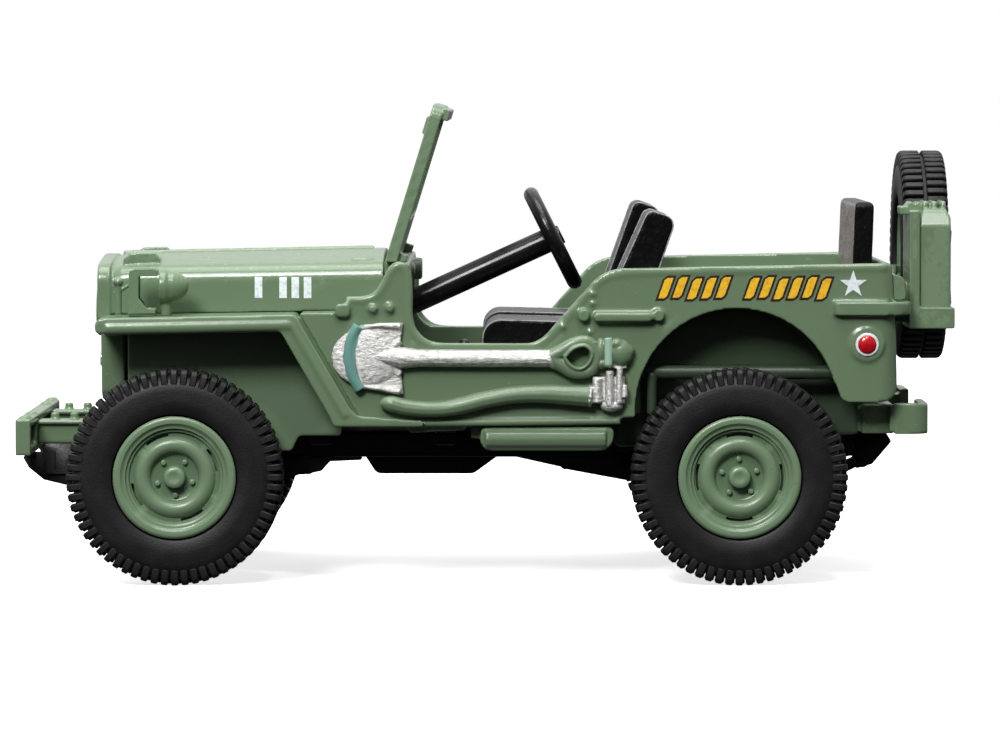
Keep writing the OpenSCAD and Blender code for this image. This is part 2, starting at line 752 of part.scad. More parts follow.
module chassis_frame() {
    color(black) {
        both_sides() upright(rail_y - rail_w / 2, rail_y + rail_w / 2)
            polygon(rounded([
                [20.6, rail_z0 + 0.3, 0.2], [20.6, 7.6, 0], [19.9, 8.3, 0], [-20.9, 8.3, 0], [-20.9, 7.3, 0.2],
                [-9, 7.3, 1], [-6, rail_z0, 1], [10, rail_z0, 1], [12, 7.1, 1]
            ]));
        for (x = [19.3, 9.2, -9.6, -19.8])
            box(x - 0.5, x + 0.5, -rail_y + rail_w / 2, rail_y - rail_w / 2, 7.3, 8.3);
        // cast plate that closes the underside between the rails
        box(-19.3, 18.8, -rail_y + rail_w / 2, rail_y - rail_w / 2, 7.75, 8.3);
        // outriggers that carry the tub
        for (x = [9.6, 2.5, -19.5]) both_sides()
            box(x - 0.6, x + 0.6, rail_y + rail_w / 2, 7.5, 7.6, 8.3);
    }
}

module frame_horns() {
    horn_x = bumper_rear_x - seam;
    color(olive) both_sides() {
        upright(rail_y - rail_w / 2, rail_y + rail_w / 2)
            polygon(rounded([[horn_x, 7.6, 0], [horn_x, 8.7, 0], [21.0, 8.7, 0.1], [20.65, 8.4, 0], [20.65, 7.6, 0]]));
        upright(rail_y - rail_w / 2 - 0.25, rail_y + rail_w / 2 + 0.25)
            polygon([[horn_x, 8.7], [horn_x, 8.95], [21.0, 8.95], [21.0, 8.7]]);
    }
}

module gearbox_skid() {
    color(black) upright(-skid_half, skid_half)
        polygon(rounded([
            [7.4, 7.7, 0], [7.4, 7.0, 0.1], [7.1, 6.6, 0.2], [6.5, 5.66, 0.5], [0.9, 5.66, 0.4], [-0.4, 6.6, 0.3], [-1.0, 7.0, 0.2], [-1.0, 7.7, 0]
        ]));
}

module propeller_shafts() {
    color(black) {
        shaft(7.4 + seam, front_axle_x - 1.55, -2.2, 6.5, 6.1);
        shaft(rear_axle_x + 1.55, -1.0 - seam, -2.2, 6.1, 6.95);
    }
}

module shaft(x0, x1, y, z0, z1) {
    run = [x1 - x0, 0, z1 - z0];
    intersection() {
        translate([x0, y, z0]) rotate([0, acos(unit(run)[2]), 0]) translate([0, 0, -1])
            cylinder(h = norm(run) + 2, r = 0.4);
        box(x0, x1, y - 2, y + 2, 0, 7.7);
    }
}

module silencer() {
    color(black) {
        along(-4.6, 1.4, -8.6, 7.75, 0.75);
        along(1.4, 6.8, -8.6, 7.75, 0.3);
        for (x = [-2, 0.4]) box(x, x + 0.6, -8.9, -8.3, 8.3, floor_z - wall);
    }
}

// A leaf spring in side view, through its two eyes and under its axle. A bend near 1 makes an end
// nearly straight, and 2 curves it like a drawn bow.
module leaf_spring(x0, z0, xm, zm, x1, z1, bend0, bend1, eye0, eye1) {
    t = 0.62;
    points = [for (i = [-8:8]) let (s = i / 8, a = abs(s))
        s < 0 ? [xm - (xm - x0) * a, zm + (z0 - zm) * pow(a, bend0)] : [xm + (x1 - xm) * a, zm + (z1 - zm) * pow(a, bend1)]];
    both_sides() {
        upright(rail_y - spring_w / 2, rail_y + spring_w / 2)
            polygon(concat(
                [for (p = points) [p[0], p[1] - t / 2]],
                [for (i = [len(points) - 1:-1:0]) [points[i][0], points[i][1] + t / 2]]
            ));
        across(x0, z0, rail_y - spring_w / 2, rail_y + spring_w / 2, eye0);
        across(x1, z1, rail_y - spring_w / 2, rail_y + spring_w / 2, eye1);
        // shorter leaves and the clamp plate under the axle
        upright(rail_y - spring_w / 2, rail_y + spring_w / 2)
            polygon([[xm - 3, zm - t / 2 + 0.2], [xm - 1.6, zm - t / 2 - 0.25], [xm + 1.6, zm - t / 2 - 0.25], [xm + 3, zm - t / 2 + 0.2]]);
    }
}

module front_leaf_springs() {
    color(black) {
        leaf_spring(10.4, 6.3, front_axle_x, 4.75, 25.2, 6.1, 2, 2, 0.5, 0.5);
        both_sides() {
            upright(rail_y - spring_w / 2, rail_y + spring_w / 2)
                polygon(rounded([
                    [26.4, 7.05, 0.1], [26.75, 6.8, 0.1], [26.4, 6.2, 0.2], [25.55, 5.5, 0.3], [24.3, 5.2, 0.3], [23.3, 5.15, 0],
                    [23.3, 7.58, 0], [25.5, 7.58, 0.1], [25.6, 7.05, 0.1]
                ]));
            upright(rail_y - spring_w / 2, rail_y + spring_w / 2)
                polygon(rounded([[8.9, rail_z0 - 0.01, 0], [9.6, 6.0, 0.3], [10.6, 5.8, 0.3], [12.2, 5.75, 0.2], [12.2, rail_z0 - 0.01, 0]]));
        }
    }
}

module rear_leaf_springs() {
    color(black) {
        leaf_spring(-4.4, 6.42, rear_axle_x, 4.75, -21.4, 6.7, 1.1, 2, 0.33, 0.5);
        both_sides() {
            // gusset from the front eye up to the frame rail
            upright(rail_y - spring_w / 2, rail_y + spring_w / 2)
                polygon([[-4.0, 6.77], [-4.3, 6.2], [-8.3, 5.6], [-8.6, 7.15], [-6, 6.77]]);
            upright(rail_y - spring_w / 2, rail_y + spring_w / 2)
                polygon(rounded([[-20.95, 8.2, 0], [-20.95, 6.1, 0.2], [-22.0, 6.4, 0.3], [-23.1, 7.7, 0.1], [-22.8, 8.2, 0.1]]));
        }
    }
}

module axle_case(x, diff_y) {
    difference() {
        union() {
            across(x, axle_z, -case_half, case_half, 0.78);
            translate([x, diff_y, axle_z]) rotate([-90, 0, 0]) rotate_extrude()
                polygon([for (a = [-90:10:90]) [1.55 * cos(a), 1.15 * sin(a)]]);
            both_sides() {
                across(x, axle_z, case_half - 0.55, case_half, 1.9);
                box(x - 0.7, x + 0.7, rail_y - 0.75, rail_y + 0.75, axle_z - 0.9, axle_z + 0.75);
            }
        }
        across(x, axle_z, -15, 15, axle_d / 2 + running);
        // flat seats for the springs
        both_sides() box(x - 3, x + 3, rail_y - spring_w / 2 - 0.001, rail_y + spring_w / 2 + 0.001, 0, 5.08);
    }
}

module front_axle_case() {
    color(black) axle_case(front_axle_x, -2.2);
}

module rear_axle_case() {
    color(black) axle_case(rear_axle_x, -2.2);
}

// ---------------------------------------------------------------- bumpers

module front_bumper() {
    color(olive) difference() {
        box(bumper_rear_x, bumper_front_x, -bumper_half_w, bumper_half_w, 7.2, 9.25);
        box(25, bumper_front_x - 0.4, -bumper_half_w + 0.5, bumper_half_w - 0.5, 7.65, 8.8);
    }
    // pads that the frame horns butt against
    color(olive) both_sides()
        box(bumper_rear_x, bumper_front_x - 0.3, rail_y - 0.85, rail_y + 0.85, 7.6, 8.85);
}

module rear_crossmember() {
    color(olive) difference() {
        box(-22.95, crossmember_x, -9.3, 9.3, 8.4, 10.05);
        box(-22.55, crossmember_x + 1, -8.9, 8.9, 8, 9.7);
    }
}

module bumperette() {
    linear_extrude(1.75)
        polygon(concat(
            arc([-23.9, 9.0], 1.0, 90, 180, 8), [[-24.9, 5.2]], [[-24.4, 5.2]], arc([-23.9, 9.0], 0.5, 180, 90, 8), [[-22.98, 9.5], [-22.98, 10.0]]
        ));
}

module rear_bumperettes() {
    color(olive) both_sides() {
        translate([0, 0, 8.4]) bumperette();
        box(-24.4, -22.95, 5.6, 7.4, 8.7, 9.8);
    }
}

// ---------------------------------------------------------------- stowage at the tail

module spare_carrier() {
    color(olive) {
        crossways(spare_front_x + seam, tub_tail_x - 0.02)
            polygon(rounded([
                [spare_y - 2.2, 14.3, 0.3], [spare_y + 2.2, 14.3, 0.3], [spare_y + 1.3, 17.6, 0.8], [spare_y - 1.3, 17.6, 0.8]
            ]));
        // tongue that reaches the wheel's hub
        box(spare_front_x - 0.5, spare_front_x + 0.2, spare_y - 0.7, spare_y + 0.7, 17.15, 17.6);
    }
}

module spare_rim() {
    color(olive) translate([spare_front_x - tyre_w / 2, spare_y, spare_z])
        rotate([0, 0, 90]) rim_body(0);
}

module spare_tyre() {
    color(rubber) translate([spare_front_x - tyre_w / 2, spare_y, spare_z])
        rotate([0, 0, 90]) tyre_body();
}

module jerry_can() {
    x1 = can_front_x;
    x0 = can_front_x - can_t;
    y1 = can_y + can_w;
    z1 = can_z + can_h;
    color(olive) {
        intersection() {
            upright(can_y, y1)
                polygon(rounded([
                    [x0, can_z, 0.3], [x1, can_z, 0.3], [x1, z1 - 0.9, 0.4], [x1 - 0.25, z1 - 0.45, 0.2],
                    [x0 + 0.25, z1 - 0.45, 0.2], [x0, z1 - 0.9, 0.4]
                ]));
            crossways(x0 - 1, x1 + 1)
                polygon(rounded([
                    [can_y, can_z, 0.4], [y1, can_z, 0.4], [y1, z1 - 1.4, 0.4], [y1 - 0.5, z1 - 0.45, 0.3],
                    [can_y + 0.5, z1 - 0.45, 0.3], [can_y, z1 - 1.4, 0.4]
                ]));
        }
        // three handles and the spout cap
        for (x = [-0.5, 0, 0.5])
            translate([(x0 + x1) / 2 + x - 0.14, 0, 0]) rotate([90, 0, 90]) linear_extrude(0.28)
                difference() {
                    polygon(rounded([
                        [can_y + 1, z1 - 0.6, 0], [can_y + 1, z1, 0.25], [y1 - 0.9, z1, 0.25], [y1 - 0.9, z1 - 0.6, 0]
                    ]));
                    translate([can_y + 1.3, z1 - 0.45]) square([can_w - 2.5, 0.2]);
                }
        translate([(x0 + x1) / 2, can_y + 0.75, z1 - 0.6]) cylinder(h = 0.5, r = 0.42);
    }
}

module jerry_can_tray() {
    x1 = can_front_x;
    x0 = can_front_x - can_t;
    y1 = can_y + can_w;
    rim = 0.22;
    color(olive) {
        difference() {
            box(x0 - rim, x1 + rim, can_y - rim, y1 + rim, can_z - 0.3, can_z + 0.9);
            box(x0, x1, can_y, y1, can_z, 30);
        }
        // back plate that clasps the can, and the foot that holds it to the tub
        box(x1, x1 + 0.6, can_y + 0.2, y1 + rim, can_z - 0.3, can_z + can_h - 0.5);
        box(x1 + 0.5, tub_tail_x - 0.02, can_y + 0.9, y1 - 0.9, can_z, can_z + 2.2);
    }
}

// ---------------------------------------------------------------- wheels

// A wheel about the Y axis, with its dished face towards +Y.
module rim_body(bore) {
    f = tyre_w / 2;
    r = rim_d / 2;
    difference() {
        rotate([-90, 0, 0]) rotate_extrude($fn = 96)
            polygon([
                [0, -f + 0.5], [1.1, -f + 0.5], [1.1, -f + 0.9], [bead_r - 0.75, -f + 0.9], [bead_r - 0.5, -f + 0.3],
                [bead_r - 0.2, -f + 0.3], [bead_r - 0.2, f - 0.55], [r, f - 0.35], [r, f - 0.1], [r - 0.1, f - 0.02],
                [r - 0.42, f - 0.02], [r - 0.52, f - 0.22], [r - 0.78, f - 0.28], [r - 0.84, f - 0.5], [r - 1.05, f - 0.56],
                [r - 1.1, f - 0.75], [2.28, f - 0.75], [2.15, f - 0.4], [1.85, f - 0.28], [1.55, f - 0.36], [1.38, f - 0.8],
                [0.68, f - 0.8], [0.66, f - 0.12], [0.56, f - 0.02], [0, f]
            ]);
        if (bore > 0) across(0, 0, -10, f - 0.9, bore);
    }
    for (a = [0:72:359])
        rotate([0, a, 0]) across(1.0, 0, f - 0.8, f - 0.55, 0.17, $fn = 16);
}

module tyre_body() {
    f = tyre_w / 2;
    r0 = bead_r - 0.2;
    rotate([-90, 0, 0]) rotate_extrude($fn = 120)
        polygon(rounded([
            [r0, -f + 0.3, 0], [bead_r + 0.1, -f, 0.2], [tyre_r - 0.85, -f, 0.6], [tyre_r - 0.12, -f + 0.35, 0.2], [tyre_r, -f + 1.1, 1.2],
            [tyre_r, f - 1.1, 1.2], [tyre_r - 0.12, f - 0.35, 0.2], [tyre_r - 0.85, f, 0.6], [bead_r + 0.16, f, 0.15],
            [bead_r + 0.06, f - 0.36, 0], [bead_r - 0.2, f - 0.55, 0]
        ], 4));
}

module rim_at(x, side) {
    color(olive) translate([x, side * wheel_y, axle_z])
        mirror([0, side < 0 ? 1 : 0, 0]) rim_body(axle_d / 2);
}

module tyre_at(x, side) {
    color(rubber) translate([x, side * wheel_y, axle_z])
        mirror([0, side < 0 ? 1 : 0, 0]) tyre_body();
}

module axle_rod(x) {
    reach = wheel_y + tyre_w / 2 - 0.9;
    color(steel) across(x, axle_z, -reach, reach, axle_d / 2);
}

// ---------------------------------------------------------------- nodes

tub();
underbody();
front_fenders();
grille();
hood();
hood_latches();
windshield_frame();
windshield_glass();
dash_cluster();
grab_handles();
headlights();
blackout_lamp();
side_reflectors();
tail_lights();
shovel();
axe();
fuel_tank_sump();
steering_wheel();
steering_column();
driver_seat();
passenger_seat();
rear_seat();
gear_levers();
chassis_frame();
frame_horns();
gearbox_skid();
propeller_shafts();
silencer();
front_leaf_springs();
rear_leaf_springs();
front_axle_case();
rear_axle_case();
front_bumper();
rear_crossmember();
rear_bumperettes();
spare_carrier();
spare_rim();
spare_tyre();
jerry_can();
jerry_can_tray();
axle_rod(front_axle_x);  // front_axle_rod
rim_at(front_axle_x, 1);  // front_left_rim
rim_at(front_axle_x, -1);  // front_right_rim
tyre_at(front_axle_x, 1);  // front_left_tyre
tyre_at(front_axle_x, -1);  // front_right_tyre
axle_rod(rear_axle_x);  // rear_axle_rod
rim_at(rear_axle_x, 1);  // rear_left_rim
rim_at(rear_axle_x, -1);  // rear_right_rim
tyre_at(rear_axle_x, 1);  // rear_left_tyre
tyre_at(rear_axle_x, -1);  // rear_right_tyre
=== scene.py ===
"""Looks of a die-cast toy army 4x4 car, about 1:64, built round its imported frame.

Frame: +X to the nose, +Y to the car's left side, +Z up. Sizes in this file are millimetres, and MM turns
them into Blender's metres. Outlines on a side of the car are (x, z) pairs.
"""

from __future__ import annotations

import json
import logging
import math
import sys
from dataclasses import dataclass, field
from enum import Enum
from typing import Callable, Optional, Sequence

import bmesh
import bpy
from mathutils import Matrix, Vector

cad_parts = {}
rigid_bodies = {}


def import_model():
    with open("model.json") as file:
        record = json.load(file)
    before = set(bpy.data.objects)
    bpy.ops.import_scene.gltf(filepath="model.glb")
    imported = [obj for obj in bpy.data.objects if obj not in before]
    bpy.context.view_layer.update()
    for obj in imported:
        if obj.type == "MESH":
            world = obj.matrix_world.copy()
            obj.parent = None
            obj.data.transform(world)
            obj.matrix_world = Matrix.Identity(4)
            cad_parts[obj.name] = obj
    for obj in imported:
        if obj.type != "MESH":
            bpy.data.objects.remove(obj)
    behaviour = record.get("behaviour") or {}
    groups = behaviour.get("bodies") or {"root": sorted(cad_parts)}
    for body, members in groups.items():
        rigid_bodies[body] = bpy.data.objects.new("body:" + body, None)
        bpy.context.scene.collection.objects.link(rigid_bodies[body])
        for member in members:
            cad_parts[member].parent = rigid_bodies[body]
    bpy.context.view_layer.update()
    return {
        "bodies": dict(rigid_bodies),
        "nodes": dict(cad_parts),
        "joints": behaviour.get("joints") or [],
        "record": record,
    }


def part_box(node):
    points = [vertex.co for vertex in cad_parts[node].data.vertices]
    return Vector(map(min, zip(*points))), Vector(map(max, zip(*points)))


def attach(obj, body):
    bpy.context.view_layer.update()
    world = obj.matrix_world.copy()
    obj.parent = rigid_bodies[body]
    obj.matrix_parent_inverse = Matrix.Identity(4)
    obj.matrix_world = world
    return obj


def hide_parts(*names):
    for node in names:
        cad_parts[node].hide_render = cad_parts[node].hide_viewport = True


MM = 0.001
LOG = logging.getLogger("toy_car")
AHEAD, ACROSS, UP = Vector((1, 0, 0)), Vector((0, 1, 0)), Vector((0, 0, 1))
Flat = tuple[float, float]
Point = tuple[float, float, float]
FaceTest = Callable[[Vector, Vector], bool]
Piece = bpy.types.Object
Material = bpy.types.Material


class Side(Enum):
    """Which side of the car a piece is on, as the sign of its Y."""

    LEFT = 1
    RIGHT = -1


class Facing(Enum):
    """Where a wheel's dished face looks, as a turn about the vertical in degrees."""

    LEFT = 0
    RIGHT = 180
    REAR = 90


# ---------------------------------------------------------------- modelling by hand


class Bench:
    """The moves that shape a piece, each one an operator used as by hand."""

    @staticmethod
    def clear() -> None:
        """Leaves edit mode and deselects everything."""
        if bpy.context.object and bpy.context.object.mode != "OBJECT":
            bpy.ops.object.mode_set(mode="OBJECT")
        bpy.ops.object.select_all(action="DESELECT")

    @staticmethod
    def focus(piece: Piece) -> None:
        """Makes one piece the only one selected, and the active one.

        Args:
            piece: the piece to work on.
        """
        Bench.clear()
        piece.select_set(True)
        bpy.context.view_layer.objects.active = piece

    @staticmethod
    def edit(piece: Piece) -> None:
        """Opens a piece in edit mode with nothing selected, in face mode."""
        Bench.focus(piece)
        bpy.ops.object.mode_set(mode="EDIT")
        bpy.ops.mesh.select_mode(type="FACE")
        bpy.ops.mesh.select_all(action="DESELECT")

    @staticmethod
    def done(name: Optional[str] = None) -> Piece:
        """Closes edit mode and applies the active piece's place.

        Args:
            name: a new name for the piece and its mesh.

        Returns:
            The piece.
        """
        if bpy.context.object.mode != "OBJECT":
            bpy.ops.object.mode_set(mode="OBJECT")
        bpy.ops.object.transform_apply(location=True, rotation=True, scale=True)
        piece = bpy.context.object
        if name:
            piece.name = name
            piece.data.name = name
        return piece

    @staticmethod
    def block(centre: Point, size: Point) -> Piece:
        """Adds a block by its centre and its full sizes.

        Args:
            centre: middle of the block in mm.
            size: lengths along X, Y and Z in mm.

        Returns:
            The new piece.
        """
        Bench.clear()
        bpy.ops.mesh.primitive_cube_add(size=1, location=Vector(centre) * MM, scale=Vector(size) * MM)
        return Bench.done()

    @staticmethod
    def drum(centre: Point, radius: float, depth: float, axis: Vector, sides: int = 24) -> Piece:
        """Adds a cylinder about any axis.

        Args:
            centre: middle of the cylinder in mm.
            radius: its radius in mm.
            depth: its length in mm.
            axis: the direction of its length.
            sides: how many flat sides make it round.

        Returns:
            The new piece.
        """
        Bench.clear()
        turn = UP.rotation_difference(axis).to_euler()
        bpy.ops.mesh.primitive_cylinder_add(
            vertices=sides, radius=radius * MM, depth=depth * MM, location=Vector(centre) * MM, rotation=turn
        )
        return Bench.done()

    @staticmethod
    def button(centre: Point, size: Point, segments: int = 20) -> Piece:
        """Adds a flattened ball, for rivets, knobs and domes.

        Args:
            centre: middle of the ball in mm.
            size: its full sizes along X, Y and Z in mm.
            segments: how finely it is divided.

        Returns:
            The new piece.
        """
        Bench.clear()
        bpy.ops.mesh.primitive_uv_sphere_add(
            segments=segments, ring_count=segments // 2, radius=0.5,
            location=Vector(centre) * MM, scale=Vector(size) * MM,
        )
        return Bench.done()

    @staticmethod
    def trace(points: Sequence[Vector]) -> Piece:
        """Draws a line of vertices, each pulled out of the last, and leaves it in edit mode.

        Args:
            points: the places that the line passes, in mm.

        Returns:
            The new piece, still in edit mode with its last vertex selected.
        """
        Bench.clear()
        bpy.ops.mesh.primitive_plane_add(size=MM, location=points[0] * MM)
        bpy.ops.object.mode_set(mode="EDIT")
        bpy.ops.mesh.select_mode(type="VERT")
        bpy.ops.mesh.select_all(action="SELECT")
        bpy.ops.mesh.merge(type="CENTER")
        for start, end in zip(points, points[1:]):
            bpy.ops.mesh.extrude_vertices_move(TRANSFORM_OT_translate={"value": (end - start) * MM})
        return bpy.context.object

    @staticmethod
    def slab(points: Sequence[Vector], pull: Vector) -> Piece:
        """Fills a traced outline and pulls it out into a slab.

        Args:
            points: the outline's corners in mm.
            pull: the slab's thickness as a move in mm.

        Returns:
            The new piece.
        """
        Bench.trace(points)
        bpy.ops.mesh.select_all(action="SELECT")
        bpy.ops.mesh.edge_face_add()
        bpy.ops.mesh.extrude_region_move(TRANSFORM_OT_translate={"value": pull * MM})
        bpy.ops.mesh.select_all(action="SELECT")
        bpy.ops.mesh.normals_make_consistent(inside=False)
        return Bench.done()

    @staticmethod
    def smooth_path(points: Sequence[Point], steps: int = 4) -> list[Vector]:
        """Fills a path in with points on a smooth curve through its own.

        Args:
            points: the places that it passes, in mm.
            steps: how many pieces each span is cut into.

        Returns:
            The finer path.
        """
        path = [Vector(point) for point in points]
        padded = [path[0] * 2 - path[1], *path, path[-1] * 2 - path[-2]]
        finer = []
        for before, start, end, after in zip(padded, padded[1:], padded[2:], padded[3:]):
            for step in range(steps):
                t = step / steps
                bend = (before * -1 + end) * t + (before * 2 - start * 5 + end * 4 - after) * t * t
                bend += (before * -1 + start * 3 - end * 3 + after) * t * t * t
                finer.append(start + bend / 2)
        return [*finer, path[-1]]

    @staticmethod
    def tube(points: Sequence[Vector], radii: Sequence[float], flat: float = 1.0) -> Piece:
        """Sweeps a round bar along a traced line.

        Args:
            points: the line's places in mm.
            radii: the bar's radius at its start and end, or at every point, in mm.
            flat: how far its thickness along Y is pressed, 1 for round.

        Returns:
            The new piece.
        """
        Bench.trace(points)
        Bench.done()
        bpy.ops.object.convert(target="CURVE")
        bar = bpy.context.object
        most = max(radii)
        bar.data.bevel_depth = most * MM
        bar.data.bevel_resolution = 4
        bar.data.use_fill_caps = True
        places = [point * MM for point in points]
        for spline in bar.data.splines:
            for knot in spline.points:
                near = min(range(len(places)), key=lambda i: (places[i] - knot.co.xyz).length)
                share = near / (len(places) - 1) * (len(radii) - 1)
                low = min(int(share), len(radii) - 2)
                knot.radius = (radii[low] + (radii[low + 1] - radii[low]) * (share - low)) / most
        bpy.ops.object.convert(target="MESH")
        middle = sum(point.y for point in points) / len(points) * MM
        bar = bpy.context.object
        bar.scale.y = flat
        bar.location.y = middle * (1 - flat)
        return Bench.done()

    @staticmethod
    def lathe(profile: Sequence[Flat], steps: int) -> Piece:
        """Turns a profile about the Y axis.

        Args:
            profile: (y, radius) of each point in mm, both ends on the axis or joined to each other.
            steps: how many steps go round.

        Returns:
            The new piece, its doubles merged and its faces outwards.
        """
        Bench.trace([Vector((0, y, r)) for y, r in profile])
        bpy.ops.mesh.select_all(action="SELECT")
        bpy.ops.mesh.spin(steps=steps, angle=math.tau, center=(0, 0, 0), axis=(0, 1, 0))
        bpy.ops.mesh.select_all(action="SELECT")
        bpy.ops.mesh.remove_doubles(threshold=0.002 * MM)
        bpy.ops.mesh.normals_make_consistent(inside=False)
        return Bench.done()

    @staticmethod
    def ring_of(piece: Piece, count: int) -> Piece:
        """Repeats a piece round the Y axis.

        Args:
            piece: the one that is repeated.
            count: how many there are in all.

        Returns:
            The piece, now all of them.
        """
        Bench.edit(piece)
        bpy.ops.mesh.select_all(action="SELECT")
        bpy.ops.mesh.spin(
            steps=count - 1, dupli=True, angle=math.tau * (count - 1) / count, center=(0, 0, 0), axis=(0, 1, 0),
        )
        return Bench.done()

    @staticmethod
    def join(pieces: Sequence[Piece], name: Optional[str] = None) -> Piece:
        """Joins pieces into the first of them.

        Args:
            pieces: what is joined.
            name: the joined piece's name.

        Returns:
            The joined piece.
        """
        Bench.clear()
        for piece in pieces:
            piece.select_set(True)
        bpy.context.view_layer.objects.active = pieces[0]
        if len(pieces) > 1:
            bpy.ops.object.join()
        return Bench.done(name)

    @staticmethod
    def copy(piece: Piece, name: str) -> Piece:
        """Copies a piece with its own mesh.

        Args:
            piece: the piece that is copied.
            name: the copy's name.

        Returns:
            The copy.
        """
        twin = bpy.data.objects.new(name, piece.data.copy())
        twin.data.name = name
        bpy.context.scene.collection.objects.link(twin)
        return twin

    @staticmethod
    def turn(piece: Piece, degrees: float, axis: str) -> None:
        """Turns a whole piece about the frame's X, Y or Z axis."""
        Bench.focus(piece)
        piece.matrix_world = Matrix.Rotation(math.radians(degrees), 4, axis)
        Bench.done()

    @staticmethod
    def shift(piece: Piece, move: Point) -> None:
        """Moves a whole piece by so many mm."""
        Bench.focus(piece)
        piece.location = Vector(move) * MM
        Bench.done()

    @staticmethod
    def pick(piece: Piece, test: FaceTest) -> None:
        """Selects, in edit mode, the faces that pass a test.

        Args:
            piece: the piece in edit mode.
            test: takes a face's middle in mm and its normal.
        """
        mesh = bmesh.from_edit_mesh(piece.data)
        for face in mesh.faces:
            face.select_set(bool(test(face.calc_center_median() / MM, face.normal)))
        mesh.select_flush_mode()
        bmesh.update_edit_mesh(piece.data)

    @staticmethod
    def modify(piece: Piece, kind: str, **settings: object) -> None:
        """Adds one modifier to a piece and applies it.

        Args:
            piece: the piece.
            kind: Blender's type name of the modifier.
            settings: the modifier's own settings.
        """
        Bench.focus(piece)
        change = piece.modifiers.new(kind.lower(), kind)
        for key, value in settings.items():
            setattr(change, key, value)
        bpy.ops.object.modifier_apply(modifier=change.name)

    @staticmethod
    def crease(piece: Piece, degrees: float) -> None:
        """Shades a piece smooth but for edges sharper than an angle."""
        Bench.focus(piece)
        bpy.ops.object.shade_smooth_by_angle(angle=math.radians(degrees))

    @staticmethod
    def from_frame(frame: dict, name: str, nodes: Sequence[str]) -> Piece:
        """Copies frame nodes into one piece whose doubles are merged.

        Args:
            name: the piece's name.
            nodes: the nodes that are copied.

        Returns:
            The new piece.
        """
        piece = Bench.join([Bench.copy(frame["nodes"][node], name) for node in nodes], name)
        piece.data.materials.clear()
        Bench.edit(piece)
        bpy.ops.mesh.select_all(action="SELECT")
        bpy.ops.mesh.remove_doubles(threshold=0.0005 * MM)
        return Bench.done()

    @staticmethod
    def enamel_over(piece: Piece, voxel: float, rounds: int, triangles: int) -> None:
        """Fuses a piece into one skin with the soft edges that thick paint gives a casting.

        Args:
            piece: the piece.
            voxel: the size of the skin's squares in mm.
            rounds: how many times it is smoothed.
            triangles: the most triangles it keeps.
        """
        Bench.modify(piece, "REMESH", mode="VOXEL", voxel_size=voxel * MM)
        Bench.modify(piece, "SMOOTH", factor=0.5, iterations=rounds)
        made = 2 * len(piece.data.polygons)
        if made > triangles:
            Bench.modify(piece, "DECIMATE", ratio=triangles / made)
        piece.data.shade_smooth()


# ---------------------------------------------------------------- shader maths


class Wire:
    """A socket that Python's own operators do maths on."""

    def __init__(self, graph: Graph, socket: bpy.types.NodeSocket) -> None:
        """Wraps one output socket of a node tree."""
        self.graph = graph
        self.socket = socket

    def _math(self, operation: str, *values: Wire | float, clamp: bool = False) -> Wire:
        """Adds one Math node over the values."""
        settings = {"operation": operation, "use_clamp": clamp}
        return self.graph.wire(self.graph.node("ShaderNodeMath", settings, dict(enumerate(values))))

    def __add__(self, other: Wire | float) -> Wire:
        """Sum."""
        return self._math("ADD", self, other)

    def __sub__(self, other: Wire | float) -> Wire:
        """Difference."""
        return self._math("SUBTRACT", self, other)

    def __rsub__(self, other: Wire | float) -> Wire:
        """Difference, the other way round."""
        return self._math("SUBTRACT", other, self)

    def __mul__(self, other: Wire | float) -> Wire:
        """Product."""
        return self._math("MULTIPLY", self, other)

    __radd__ = __add__
    __rmul__ = __mul__

    def __truediv__(self, other: Wire | float) -> Wire:
        """Quotient."""
        return self._math("DIVIDE", self, other)

    def size(self) -> Wire:
        """The value without its sign."""
        return self._math("ABSOLUTE", self)

    def both(self, other: Wire | float) -> Wire:
        """The smaller of two masks, so what is in both."""
        return self._math("MINIMUM", self, other)

    def above(self, edge: Wire | float, soft: float) -> Wire:
        """A mask that is 1 where the value is past an edge.

        Args:
            edge: the value at the middle of the edge.
            soft: the width over which it rises.

        Returns:
            The mask.
        """
        return self._math("ADD", (self - edge) / soft, 0.5, clamp=True)

    def below(self, edge: Wire | float, soft: float) -> Wire:
        """A mask that is 1 where the value is short of an edge."""
        return 1.0 - self.above(edge, soft)


